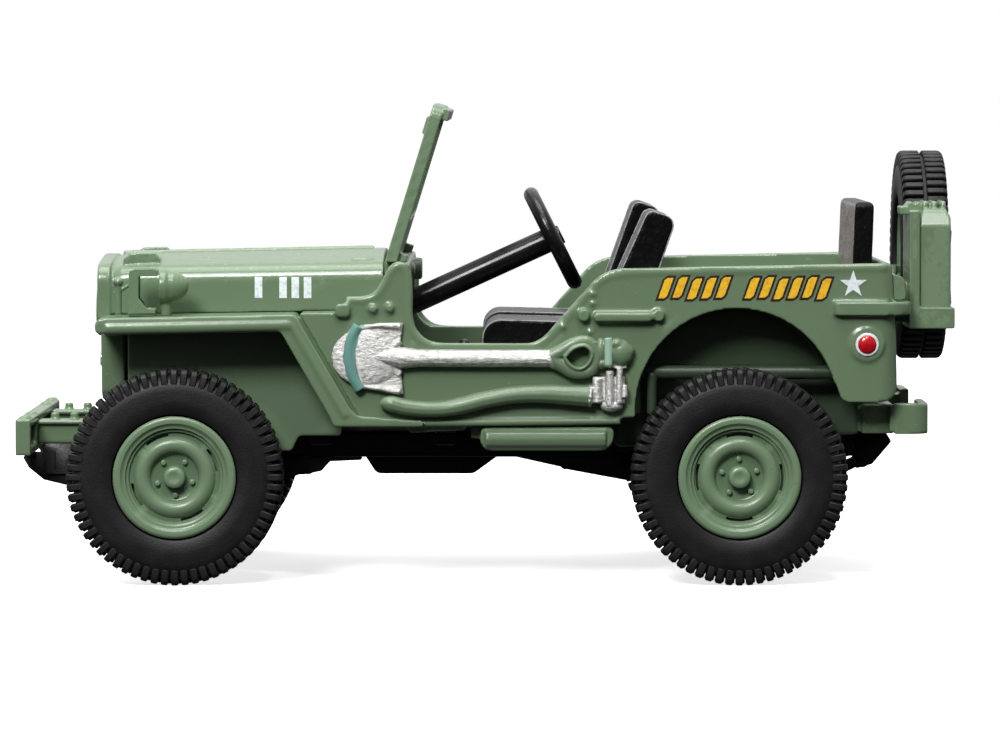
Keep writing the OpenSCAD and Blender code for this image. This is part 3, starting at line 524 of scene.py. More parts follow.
class Graph:
    """A node tree while it is put together."""

    def __init__(self, tree: bpy.types.NodeTree) -> None:
        """Takes a node tree and empties it."""
        self.tree = tree
        self.tree.nodes.clear()

    def node(
        self, kind: str, settings: Optional[dict] = None, values: Optional[dict] = None
    ) -> bpy.types.Node:
        """Adds one node.

        Args:
            kind: the node's type name.
            settings: its own properties, set first; "stops" holds a ramp's (place, colour) pairs.
            values: a number, colour or wire for each named or numbered input.

        Returns:
            The node.
        """
        made = self.tree.nodes.new(kind)
        for key, value in (settings or {}).items():
            if key == "stops":
                ramp = made.color_ramp.elements
                while len(ramp) < len(value):
                    ramp.new(0.5)
                for stop, (place, colour) in zip(ramp, value):
                    stop.position = place
                    stop.color = colour
            else:
                setattr(made, key, value)
        for key, value in (values or {}).items():
            if isinstance(value, Wire):
                self.tree.links.new(value.socket, made.inputs[key])
            else:
                made.inputs[key].default_value = value
        return made

    def wire(self, node: bpy.types.Node, output: int | str = 0) -> Wire:
        """One output of a node as a wire."""
        return Wire(self, node.outputs[output])

    def axes(self, place: Wire) -> tuple[Wire, Wire, Wire]:
        """Splits a place into X, Y and Z."""
        split = self.node("ShaderNodeSeparateXYZ", None, {0: place})
        return self.wire(split, 0), self.wire(split, 1), self.wire(split, 2)

    def ramp(self, source: Wire, stops: Sequence[Flat]) -> Wire:
        """Turns one part of a direction, from -1 to 1, into brightness.

        Args:
            source: the part.
            stops: (share of the range, brightness) of each stop.

        Returns:
            The brightness.
        """
        share = self.wire(self.node("ShaderNodeMapRange", None, {"Value": source, "From Min": -1.0}))
        greys = [(place, (level, level, level, 1.0)) for place, level in stops]
        return self.wire(self.node("ShaderNodeValToRGB", {"stops": greys}, {"Fac": share}))


class Paint(Graph):
    """One material while it is put together."""

    def __init__(self, name: str) -> None:
        """Starts a named material with its surface shader and nothing else."""
        self.material = bpy.data.materials.new(name)
        self.material.use_nodes = True
        super().__init__(self.material.node_tree)
        output = self.node("ShaderNodeOutputMaterial")
        self.surface = self.node("ShaderNodeBsdfPrincipled")
        self.tree.links.new(self.surface.outputs[0], output.inputs["Surface"])

    def place(self) -> Wire:
        """Object coordinates in millimetres."""
        where = self.wire(self.node("ShaderNodeTexCoord"), "Object")
        scaled = self.node("ShaderNodeVectorMath", {"operation": "SCALE"}, {0: where, "Scale": 1 / MM})
        return self.wire(scaled)

    def bend(self) -> Wire:
        """How far the surface bulges: over a half on edges, under it in corners."""
        return self.wire(self.node("ShaderNodeNewGeometry"), "Pointiness")

    def stretch(self, place: Wire, factors: Point) -> Wire:
        """Stretches coordinates, so that a pattern runs along an axis whose factor is small."""
        return self.wire(self.node("ShaderNodeVectorMath", {"operation": "MULTIPLY"}, {0: place, 1: factors}))

    def noise(self, place: Wire, scale: float, detail: float = 3.0, rough: float = 0.55) -> Wire:
        """Cloudy noise from 0 to 1.

        Args:
            place: the coordinates in mm.
            scale: how many clouds fit in a millimetre.
            detail: how many finer layers it has.
            rough: how strong the finer layers are.

        Returns:
            The noise as a wire.
        """
        values = {"Vector": place, "Scale": scale, "Detail": detail, "Roughness": rough}
        return self.wire(self.node("ShaderNodeTexNoise", None, values))

    def blend(self, mask: Wire | float, low: Wire | tuple, high: Wire | tuple) -> Wire:
        """Mixes two colours by a mask.

        Args:
            mask: 0 gives low and 1 gives high.
            low: a colour.
            high: another colour.

        Returns:
            The mixed colour.
        """
        return self.wire(self.node("ShaderNodeMix", {"data_type": "RGBA"}, {0: mask, 6: low, 7: high}), 2)

    def dress(self, **sockets: Wire | float | tuple) -> None:
        """Sets the surface shader's sockets, with underscores for spaces."""
        for key, value in sockets.items():
            socket = self.surface.inputs[key.replace("_", " ")]
            if isinstance(value, Wire):
                self.tree.links.new(value.socket, socket)
            else:
                socket.default_value = value

    def relief(self, height: Wire, depth: float) -> None:
        """Gives the surface a fine relief.

        Args:
            height: 0 to 1 over the surface.
            depth: what 1 stands for, in mm.
        """
        bump = self.node("ShaderNodeBump", None, {"Strength": 1.0, "Distance": depth * MM, "Height": height})
        self.tree.links.new(bump.outputs[0], self.surface.inputs["Normal"])


def shade(red: float, green: float, blue: float) -> tuple[float, float, float, float]:
    """Turns a screen colour of 0 to 255 into the shader's linear one.

    Args:
        red: its red part.
        green: its green part.
        blue: its blue part.

    Returns:
        The linear colour with full alpha.
    """
    linear = [((v / 255 + 0.055) / 1.055) ** 2.4 if v > 10 else v / 255 / 12.92 for v in (red, green, blue)]
    return (*linear, 1.0)


# ---------------------------------------------------------------- finishes


@dataclass(frozen=True)
class Enamel:
    """Enamel sprayed over a casting, darker in its corners as pooled paint with painted shade, and rubbed paler on
    its edges; it can also paint shadow inside the rear wheel wells.
    """

    name: str = "olive_enamel"
    colour: tuple = shade(104, 125, 97)
    pooled_and_shade: tuple = shade(84, 106, 80)
    rubbed: tuple = shade(122, 143, 115)
    roughness: float = 0.24
    peel_mm: float = 0.01
    # These fields paint shadow inside the rear wheel wells, when it is switched on.
    painted_well_shade: bool = False
    well_shadow: tuple = shade(44, 58, 42)
    well_x: Flat = (-20.6, -7.6)
    well_half_y: float = 11.25
    well_top: float = 16.0

    def ground(self, paint: Paint, place: Wire) -> tuple[Wire, Wire]:
        """Colour and relief of the plain enamel.

        Args:
            paint: the paint that it is part of.
            place: coordinates in mm.

        Returns:
            The colour, and the height of the paint's skin from 0 to 1.
        """
        clouds = paint.noise(place, 0.12, 3)
        grain = paint.noise(place, 9.0, 2)
        bend = paint.bend()
        tone = paint.blend(clouds.above(0.5, 0.9) * 0.3, self.colour, self.pooled_and_shade)
        # Painted shade: where the surface curves inward it darkens towards the pooled colour, partly pooled paint and
        # partly painted shade in corners and recesses.
        tone = paint.blend(bend.below(0.46, 0.1) * 0.9, tone, self.pooled_and_shade)
        tone = paint.blend(bend.above(0.57, 0.12) * 0.45, tone, self.rubbed)
        # Painted shadow: inside the rear wheel wells the colour is darkened towards well_shadow.
        if self.painted_well_shade:
            x, y, z = paint.axes(place)
            well_shade_mask = y.size().below(self.well_half_y, 0.3).both(z.below(self.well_top, 0.8))
            well_shade_mask = well_shade_mask.both(x.below(self.well_x[1], 0.5)).both(x.above(self.well_x[0], 0.5))
            tone = paint.blend(well_shade_mask * 0.85, tone, self.well_shadow)
        return tone, grain * 0.35 + paint.noise(place, 2.2, 2) * 0.65

    def material(self) -> Material:
        """Makes the material."""
        paint = Paint(self.name)
        place = paint.place()
        tone, skin = self.ground(paint, place)
        gloss = paint.noise(place, 1.3, 3) * 0.16 + (self.roughness - 0.08)
        paint.dress(Base_Color=tone, Roughness=gloss, Specular_IOR_Level=0.5)
        paint.relief(skin, self.peel_mm)
        return paint.material


@dataclass(frozen=True)
class ToolPaint:
    """Grainy silver brushed by hand over part of the enamel, with a strap in blue-green."""

    name: str
    silver_zone: Callable[[Wire, Wire, Wire], Wire]
    strap_zone: Callable[[Wire, Wire, Wire], Wire]
    enamel: Enamel = Enamel()
    silver: tuple = shade(212, 212, 208)
    dull: tuple = shade(150, 149, 146)
    strap: tuple = shade(98, 142, 134)

    def material(self) -> Material:
        """Makes the material."""
        paint = Paint(self.name)
        place = paint.place()
        x, _, z = paint.axes(place)
        wobble = paint.noise(place, 1.6, 3) - 0.5
        brushed = self.silver_zone(x, z, wobble)
        strapped = self.strap_zone(x, z, wobble)
        tone, skin = self.enamel.ground(paint, place)
        flakes = paint.noise(paint.stretch(place, (0.45, 1, 1)), 6.0, 5, 0.7)
        sparkle = paint.blend(flakes.above(0.47, 0.3), self.dull, self.silver)
        bare = brushed.both(1.0 - strapped)
        tone = paint.blend(brushed, tone, sparkle)
        tone = paint.blend(strapped, tone, self.strap)
        paint.dress(Base_Color=tone, Metallic=bare * 0.6, Roughness=bare * 0.06 + 0.3)
        paint.relief(skin * (1.0 - bare) * 0.2 + flakes * bare, 0.09)
        return paint.material


@dataclass(frozen=True)
class HardPlastic:
    """Moulded plastic with a fine grain."""

    name: str
    colour: tuple
    roughness: float
    grain_mm: float = 0.006
    grain_size: float = 14.0
    worn: tuple = shade(60, 60, 62)
    wear: float = 0.25
    specular: float = 0.3

    def material(self) -> Material:
        """Makes the material."""
        paint = Paint(self.name)
        place = paint.place()
        clouds = paint.noise(place, 0.8, 4)
        bend = paint.bend()
        tone = paint.blend(clouds.above(0.62, 0.3) * self.wear, self.colour, self.worn)
        tone = paint.blend(bend.above(0.56, 0.1) * self.wear, tone, self.worn)
        paint.dress(
            Base_Color=tone, Roughness=clouds * 0.2 + (self.roughness - 0.1), Specular_IOR_Level=self.specular
        )
        paint.relief(paint.noise(place, self.grain_size, 3), self.grain_mm)
        return paint.material


@dataclass(frozen=True)
class Upholstery(HardPlastic):
    """Black plastic moulded with the wrinkled grain of hide, which can be painted paler where it faces ahead, as
    painted light on those faces.
    """

    painted_front_light: Optional[tuple] = None

    def material(self) -> Material:
        """Makes the material."""
        paint = Paint(self.name)
        place = paint.place()
        folds = paint.noise(paint.stretch(place, (1, 0.5, 0.6)), 0.9, 4, 0.6)
        rubbed = paint.noise(place, 1.6, 4, 0.6).above(0.66, 0.12)
        tone = paint.blend(rubbed * self.wear, self.colour, self.worn)
        # Painted light: faces that look ahead are painted a paler grey, standing in for the light and reflection that
        # reach them from the front.
        if self.painted_front_light:
            ahead, _, _ = paint.axes(paint.wire(paint.node("ShaderNodeNewGeometry"), "Normal"))
            weave = paint.noise(paint.stretch(place, (1, 1, 0.35)), 5.0, 3)
            tone = paint.blend(ahead.above(0.8, 0.3) * (weave * 0.5 + 0.6), tone, self.painted_front_light)
        paint.dress(
            Base_Color=tone, Roughness=paint.noise(place, 3.0, 2) * 0.15 + (self.roughness - 0.07),
            Specular_IOR_Level=self.specular,
        )
        paint.relief(folds * 16.0 + paint.noise(place, 5.0, 2) * 0.5, self.grain_mm)
        return paint.material


@dataclass(frozen=True)
class ClearPlastic:
    """Clear moulded plastic of the windshield panes."""

    name: str = "clear_screen_plastic"

    def material(self) -> Material:
        """Makes the material."""
        paint = Paint(self.name)
        ripple = paint.noise(paint.place(), 0.6, 2)
        paint.dress(
            Base_Color=paint.blend(ripple, shade(226, 236, 230), shade(240, 246, 242)),
            Roughness=0.05,
            IOR=1.46,
            Alpha=ripple * 0.06 + 0.14,
        )
        paint.relief(ripple, 0.02)
        return paint.material


@dataclass(frozen=True)
class Pigment:
    """A printed or brushed mark, thin and a little uneven."""

    name: str
    colour: tuple
    faded: tuple
    roughness: float = 0.4
    coat: float = 0.0

    def material(self) -> Material:
        """Makes the material."""
        paint = Paint(self.name)
        place = paint.place()
        patchy = paint.noise(place, 4.0, 4, 0.6)
        paint.dress(
            Base_Color=paint.blend(patchy.above(0.58, 0.25), self.colour, self.faded),
            Roughness=patchy * 0.15 + (self.roughness - 0.07),
            Coat_Weight=self.coat,
        )
        paint.relief(patchy, 0.006)
        return paint.material


@dataclass(frozen=True)
class DrawnSteel:
    """Plain drawn wire with fine rings of machining."""

    name: str = "axle_steel"

    def material(self) -> Material:
        """Makes the material."""
        paint = Paint(self.name)
        place = paint.place()
        scratches = paint.noise(place, 7.0, 4)
        paint.dress(
            Base_Color=paint.blend(scratches, shade(150, 152, 156), shade(196, 197, 200)),
            Metallic=1.0,
            Roughness=scratches * 0.2 + 0.25,
        )
        paint.relief(scratches, 0.004)
        return paint.material


def blade_silver(x: Wire, z: Wire, wobble: Wire) -> Wire:
    """Where the shovel is silver: its blade and shaft, ahead of the grip."""
    return (x + wobble * 0.35 - (z - 12.75) * 0.25).above(-3.55, 0.06)


def blade_strap(x: Wire, z: Wire, wobble: Wire) -> Wire:
    """Where the strap crosses the shovel's blade, bowed like the blade's tip."""
    bow = (z - 12.9) * (z - 12.9) * -0.15 + 7.8
    return (x - bow + wobble * 0.2).size().below(0.33, 0.06)


def head_silver(x: Wire, z: Wire, wobble: Wire) -> Wire:
    """Where the axe is silver: its head, behind the handle and below the clamp."""
    return (x + wobble * 0.3).below(-5.62, 0.06).both((z + wobble * 0.3).below(12.32, 0.06))


def clamp_strap(x: Wire, z: Wire, wobble: Wire) -> Wire:
    """Where the clamp above the axe's head has its pale band."""
    band = (x + 6.73 + wobble * 0.15).size().below(0.2, 0.05)
    return band.both(z.above(12.45, 0.06))


@dataclass
class Finishes:
    """Every material, made once."""

    enamel: Material = field(default_factory=Enamel().material)
    # The body's enamel has painted shadow inside the rear wheel wells.
    body_enamel: Material = field(default_factory=Enamel("olive_enamel_body", painted_well_shade=True).material)
    # A darker copy of the enamel: painted shade for the floor casting under the body, with painted shadow in the
    # wheel wells too.
    shaded_enamel: Material = field(
        default_factory=Enamel(
            "olive_enamel_painted_shade", shade(72, 90, 67), shade(56, 74, 53), shade(100, 120, 94), 0.4, painted_well_shade=True
        ).material
    )
    wheel_enamel: Material = field(
        default_factory=Enamel(
            "olive_wheel_plastic", shade(108, 130, 102), shade(84, 108, 80), shade(126, 148, 120), 0.3, 0.006
        ).material
    )
    shovel: Material = field(default_factory=ToolPaint("shovel_paint", blade_silver, blade_strap).material)
    axe: Material = field(
        default_factory=ToolPaint("axe_paint", head_silver, clamp_strap, strap=shade(150, 180, 160)).material
    )
    black: Material = field(
        default_factory=HardPlastic("black_chassis_plastic", shade(28, 28, 28), 0.4, 0.015, 5.0).material
    )
    gloss_black: Material = field(
        default_factory=HardPlastic("black_gloss_plastic", shade(16, 16, 17), 0.24, 0.002, wear=0.08).material
    )
    hide: Material = field(
        default_factory=Upholstery(
            "seat_hide_plastic", shade(13, 13, 14), 0.3, 0.016, worn=shade(34, 34, 36), wear=0.15,
            specular=0.1,
        ).material
    )
    # The rear seat's hide, with painted light on the faces that look ahead.
    painted_front_light_hide: Material = field(
        default_factory=Upholstery(
            "rear_seat_hide", shade(13, 13, 14), 0.3, 0.016, worn=shade(34, 34, 36), wear=0.15,
            specular=0.1, painted_front_light=shade(122, 114, 108),
        ).material
    )
    piping: Material = field(
        default_factory=Pigment("seat_piping", shade(150, 150, 150), shade(70, 70, 72)).material
    )
    rubber: Material = field(
        default_factory=HardPlastic(
            "tyre_rubber", shade(17, 17, 18), 0.5, 0.012, 8.0, shade(38, 38, 39), 0.25
        ).material
    )
    # Painted shadow: near-black for the floors of the wheels' slots, where shade falls.
    slot_floor_shadow: Material = field(
        default_factory=HardPlastic("wheel_slot_shadow", shade(14, 22, 18), 0.7).material
    )
    clear: Material = field(default_factory=ClearPlastic().material)
    lens: Material = field(
        default_factory=Pigment("lens_silver", shade(214, 216, 216), shade(170, 174, 174), 0.2, 0.6).material
    )
    red: Material = field(
        default_factory=Pigment("reflector_red", shade(186, 16, 28), shade(150, 10, 20), 0.22, 0.5).material
    )
    white: Material = field(
        default_factory=Pigment("marking_white", shade(226, 232, 236), shade(190, 202, 206)).material
    )
    yellow: Material = field(
        default_factory=Pigment("marking_yellow", shade(232, 184, 42), shade(206, 152, 30)).material
    )
    outline: Material = field(
        default_factory=Pigment("marking_dark", shade(44, 22, 18), shade(30, 16, 14)).material
    )
    steel: Material = field(default_factory=DrawnSteel().material)


# ---------------------------------------------------------------- the shop that fits pieces to the frame


class Slot(Enum):
    """The record's material slots."""

    GREEN = "green_paint"
    GREEN_PLASTIC = "green_plastic"
    BLACK = "black_plastic"
    SEAT = "seat_plastic"
    TYRE = "tyre"
    CLEAR = "clear_plastic"
    SILVER = "silver_paint"
    RED = "red_paint"
    STEEL = "steel"


@dataclass
class Shop:
    """The frame, the finishes, and how a finished piece is fitted."""

    frame: dict
    finishes: Finishes

    def copy_of(self, name: str, *nodes: str) -> Piece:
        """A piece that starts as a copy of frame nodes."""
        return Bench.from_frame(self.frame, name, nodes)

    @staticmethod
    def box(node: str) -> tuple[Vector, Vector]:
        """The low and high corners of a frame node in mm."""
        low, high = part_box(node)
        return Vector(low) / MM, Vector(high) / MM

    def fit(
        self,
        piece: Piece,
        slot: Slot,
        materials: Sequence[Material],
        replaces: Sequence[str] = (),
        body: str = "car",
    ) -> Piece:
        """Dresses a finished piece and fixes it to its body.

        Args:
            piece: the finished piece.
            slot: the record's slot; not used.
            materials: its materials, in the order that its faces use.
            replaces: the frame nodes that it stands for.
            body: the body that it rides on.

        Returns:
            The piece.
        """
        kept = [p.material_index for p in piece.data.polygons] if len(materials) > 1 else None
        piece.data.materials.clear()
        for material in materials:
            piece.data.materials.append(material)
        if kept:
            piece.data.polygons.foreach_set("material_index", kept)
        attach(piece, body)
        if replaces:
            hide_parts(*replaces)
        LOG.info("%s: %d faces on %s", piece.name, len(piece.data.polygons), body)
        return piece

    def cast(
        self,
        name: str,
        nodes: Sequence[str],
        skin: float,
        rounds: int,
        most: int,
        extras: Sequence[Piece] = (),
        slot: Slot = Slot.GREEN,
        finish: Optional[Material] = None,
    ) -> Piece:
        """Copies frame nodes, joins details to them and gives them soft edges.

        Args:
            name: the new piece's name.
            nodes: the nodes that it copies and stands for.
            skin: the size of its skin's squares in mm.
            rounds: how many times it is smoothed.
            most: the most triangles that it keeps.
            extras: details joined to it first.
            slot: the record's slot.
            finish: its material, the plain enamel if none is given.

        Returns:
            The fitted piece.
        """
        piece = Bench.join([self.copy_of(name, *nodes), *extras], name)
        Bench.enamel_over(piece, skin, rounds, most)
        return self.fit(piece, slot, [finish or self.finishes.enamel], nodes)

    def keep(self, node: str, material: Material) -> None:
        """Keeps a frame node as it is and gives it its finish."""
        piece = self.frame["nodes"][node]
        piece.data.materials.clear()
        piece.data.materials.append(material)
        piece.data.shade_smooth()
        LOG.info("%s: kept", node)


# ---------------------------------------------------------------- castings


@dataclass
class BodyCastings:
    """The painted body: tub, floor, fenders, grille, hood and the small things cast on them."""

    shop: Shop
    tub_face_y: float = 11.5
    rivet: float = 0.34
    rivet_places: tuple = ((-5.86, 16.39), (-5.86, 15.86), (-4.18, 14.56), (-5.7, 14.25), (8.1, 12.2))
    reflector: tuple = (-21.27, 13.55)
    sill_bead_middle: Flat = (-0.6, 9.15)
    sill_lug: tuple = ((5.0, 9.3), (4.4, 8.55), (1.4, 8.7), (0.8, 9.3))
    lip_radius: float = 0.27
    lip_line: tuple = (
        (8.0, 16.0), (7.05, 16.02), (6.35, 16.25), (5.9, 16.8), (5.6, 17.4), (5.3, 17.85), (4.9, 17.95),
        (4.6, 17.5), (4.5, 16.6), (4.5, 15.2), (4.25, 14.25), (3.55, 13.6), (2.5, 13.38), (0.0, 13.36), (-1.8, 13.34),
        (-2.75, 13.5), (-3.6, 14.1), (-4.6, 15.2), (-5.6, 16.4), (-6.4, 17.15), (-7.4, 17.5), (-9.0, 17.58),
        (-14.0, 17.68), (-19.0, 17.8), (-22.3, 17.86),
    )
    skin: float = 0.1
    body_triangles: int = 130_000
    hood_overlap: float = 0.2
    step_x: float = -7.6
    fender_seam: tuple = ((6.9, 9.2), (7.4, 9.2), (10.9, 15.1), (10.4, 15.1))

    def rivets(self) -> list[Piece]:
        """Rivet heads on both sides of the tub."""
        return [
            Bench.button((x, side.value * self.tub_face_y, z), (self.rivet, 0.34, self.rivet), 12)
            for side in Side
            for x, z in self.rivet_places
        ]

    def reflector_bases(self) -> list[Piece]:
        """Raised round bases that the side reflectors stand on."""
        x, z = self.reflector
        out = self.tub_face_y + 0.02
        return [Bench.drum((x, side.value * out, z), 0.95, 0.2, ACROSS, 48) for side in Side]

    def sill_beads(self) -> list[Piece]:
        """The rounded bead along the lower edge of each side."""
        x, z = self.sill_bead_middle
        run = Vector((1, 0, -0.012))
        return [Bench.drum((x, side.value * self.tub_face_y, z), 0.2, 13.6, run, 16) for side in Side]

    def door_lips(self) -> list[Piece]:
        """The rolled lip down the cowl, along the door's sill and back along the top rail."""
        made = []
        for side in Side:
            y = side.value * (self.tub_face_y - self.lip_radius + 0.06)
            path = Bench.smooth_path([(x, y, z) for x, z in self.lip_line])
            made.append(Bench.tube(path, (self.lip_radius, self.lip_radius)))
        return made

    def sill_lugs(self) -> list[Piece]:
        """The lug that hangs below each door."""
        made = []
        for side in Side:
            points = [Vector((x, side.value * 10.3, z)) for x, z in self.sill_lug]
            made.append(Bench.slab(points, Vector((0, side.value * 0.95, 0))))
        return made

    def dash_details(self) -> list[Piece]:
        """Dials and knobs on the dash panel's rear face."""
        made = [Bench.drum((4.4, y, 17.5), 0.34, 0.3, AHEAD, 24) for y in (2.6, 3.6)]
        made += [Bench.button((4.4, y, 17.2), (0.3, 0.3, 0.3), 10) for y in (-3.0, -3.8, -4.6)]
        return made

    def build(self) -> None:
        """Builds the castings and fits them."""
        details = self.rivets() + self.reflector_bases() + self.sill_beads() + self.door_lips()
        details += self.sill_lugs() + self.dash_details()
        nodes = ("tub", "grab_handles", "hood_latches", "dash_cluster")
        finish = self.shop.finishes.body_enamel
        self.shop.cast("tub_casting", nodes, self.skin, 4, self.body_triangles, details, finish=finish)
        self.floor()
        self.fenders()
        self.hood()
        self.headlamps()
        self.reflectors()

    def floor(self) -> None:
        """The floor casting with its pressed ribs."""
        low, _ = Shop.box("underbody")
        ribs = [Bench.drum((-0.2, y, 10.0), 0.2, 9.0, AHEAD, 12) for y in (-7.6, -5.6, -3.6, 3.6, 5.6, 7.6)]
        ribs += [
            Bench.drum(((low.x + self.step_x) / 2, y, 12.1), 0.22, self.step_x - low.x - 2.4, AHEAD, 12)
            for y in (-5.4, -2.7, 0, 2.7, 5.4)
        ]
        for side in Side:
            y = side.value * 9.9
            ribs.append(Bench.tube([Vector((-8.6, y, 11.9)), Vector((-20.0, y, 11.9))], (0.42, 0.42)))
            ribs += [Bench.drum((x, side.value * 10.3, 10.7), 0.3, 2.4, UP, 12) for x in (-8.3, -9.2)]
        # The floor casting's enamel is darker: painted shade.
        finish = self.shop.finishes.shaded_enamel
        self.shop.cast("floor_casting", ("underbody",), 0.12, 3, 90_000, ribs, finish=finish)

    def fenders(self) -> None:
        """Both front fenders with the bead along their edges."""
        beads = []
        for side in Side:
            y = side.value * 11.72
            beads.append(Bench.drum((16.3, y, 14.56), 0.4, 10.4, Vector((1, 0, -0.02)), 20))
            beads.append(Bench.drum((9.55, y, 12.1), 0.36, 6.0, Vector((0.51, 0, 0.86)), 20))
            seam = [Vector((x, side.value * 10.7, z)) for x, z in self.fender_seam]
            beads.append(Bench.slab(seam, Vector((0, side.value * 0.62, 0))))
        self.shop.cast("fender_castings", ("front_fenders",), 0.09, 4, 90_000, beads)

    def headlamps(self) -> None:
        """Silver headlamp lenses in raised rims, with the small lamps below them."""
        rims = []
        for y in (4.95, -4.95):
            Bench.clear()
            bpy.ops.mesh.primitive_torus_add(
                major_segments=48, minor_segments=10, major_radius=1.3 * MM, minor_radius=0.14 * MM,
                location=Vector((22.3, y, 15.2)) * MM, rotation=(0, math.pi / 2, 0),
            )
            rims.append(Bench.done())
        lenses = self.shop.copy_of("headlamp_lenses", "headlights")
        Bench.modify(lenses, "BEVEL", width=0.05 * MM, segments=2)
        lenses.data.shade_smooth()
        self.shop.fit(lenses, Slot.SILVER, [self.shop.finishes.lens], ["headlights"])
        rim = Bench.join(rims, "headlamp_rims")
        rim.data.shade_smooth()
        self.shop.fit(rim, Slot.GREEN, [self.shop.finishes.enamel])

    def hood(self) -> None:
        """The hood and the slatted grille as one casting, with side hinges and a middle crease."""
        crease = Bench.drum((14.0, 0, 18.52), 0.14, 14.6, Vector((-1, 0, 0.02)), 12)
        hinges = [Bench.block((7.2, y, 18.1), (1.2, 0.5, 0.4)) for y in (-6.6, 6.6)]
        shell = self.shop.copy_of("hood_casting", "hood")
        front = max(vertex.co.x for vertex in shell.data.vertices) / MM
        Bench.edit(shell)
        bpy.ops.mesh.select_mode(type="VERT")
        mesh = bmesh.from_edit_mesh(shell.data)
        for vertex in mesh.verts:
            vertex.select_set(vertex.co.x / MM > front - 0.02)
        bmesh.update_edit_mesh(shell.data)
        bpy.ops.transform.translate(value=(self.hood_overlap * MM, 0, 0))
        Bench.done()
        panel = self.shop.copy_of("grille_panel", "grille")
        piece = Bench.join([shell, panel, crease, *hinges], "hood_casting")
        Bench.enamel_over(piece, 0.065, 5, 190_000)
        self.shop.fit(piece, Slot.GREEN, [self.shop.finishes.enamel], ["hood", "grille"])

    def reflectors(self) -> None:
        """Red domes in white rings on both sides."""
        x, z = self.reflector
        rings, domes = [], []
        for side in Side:
            y = side.value * (self.tub_face_y + 0.14)
            rings.append(Bench.drum((x, y, z), 0.66, 0.12, Vector((0, side.value, 0)), 48))
            domes.append(Bench.button((x, y + side.value * 0.04, z), (1.06, 0.42, 1.06), 32))
        ring = Bench.join(rings, "reflector_rings")
        Bench.modify(ring, "BEVEL", width=0.05 * MM, segments=3)
        ring.data.shade_smooth()
        dome = Bench.join(domes, "reflector_domes")
        dome.data.shade_smooth()
        self.shop.fit(ring, Slot.RED, [self.shop.finishes.white])
        self.shop.fit(dome, Slot.RED, [self.shop.finishes.red], ["side_reflectors"])


@dataclass
class Fittings:
    """Windshield, fuel tank and small lamps."""

    shop: Shop

    def build(self) -> None:
        """Builds the fittings and fits them."""
        self.windshield()
        self.lamp()
        belly = Bench.tube([Vector((-6.6, 11.05, 8.22)), Vector((0.2, 11.05, 8.22))], (0.66, 0.66))
        self.shop.cast("fuel_tank_casting", ("fuel_tank_sump",), 0.07, 8, 40_000, [belly])
        self.tail_lamps()

    def windshield(self) -> None:
        """The windshield frame with its glazing strips, and its panes."""
        self.shop.cast("windshield_casting", ("windshield_frame",), 0.06, 3, 60_000)
        self.shop.keep("windshield_glass", self.shop.finishes.clear)

    def lamp(self) -> None:
        """The small lamp on the left fender with its guard, and the post beside it."""
        posts = [
            Bench.drum((20.95, 9.5, 16.1), 0.2, 1.9, UP, 16),
            Bench.button((20.95, 9.5, 17.0), (0.62, 0.7, 0.5), 16),
            Bench.drum((20.7, 9.5, 16.6), 0.12, 1.1, Vector((1, 0, -0.6)), 12),
            Bench.block((19.6, 9.5, 15.25), (1.5, 1.5, 0.3)),
        ]
        self.shop.cast("fender_lamp", ("blackout_lamp",), 0.05, 2, 60_000, posts)

    def tail_lamps(self) -> None:
        """Tail lamp housings with red lenses looking back."""
        low, high = Shop.box("tail_lights")
        self.shop.cast("tail_lamp_housings", ("tail_lights",), 0.05, 2, 20_000)
        lenses = [
            Bench.button((low.x + 0.1, y, (low.z + high.z) / 2), (0.3, 0.8, 0.8), 24)
            for y in (high.y - 0.6, low.y + 0.6)
        ]
        lens = Bench.join(lenses, "tail_lamp_lenses")
        lens.data.shade_smooth()
        self.shop.fit(lens, Slot.RED, [self.shop.finishes.red])


# ---------------------------------------------------------------- tools and marks


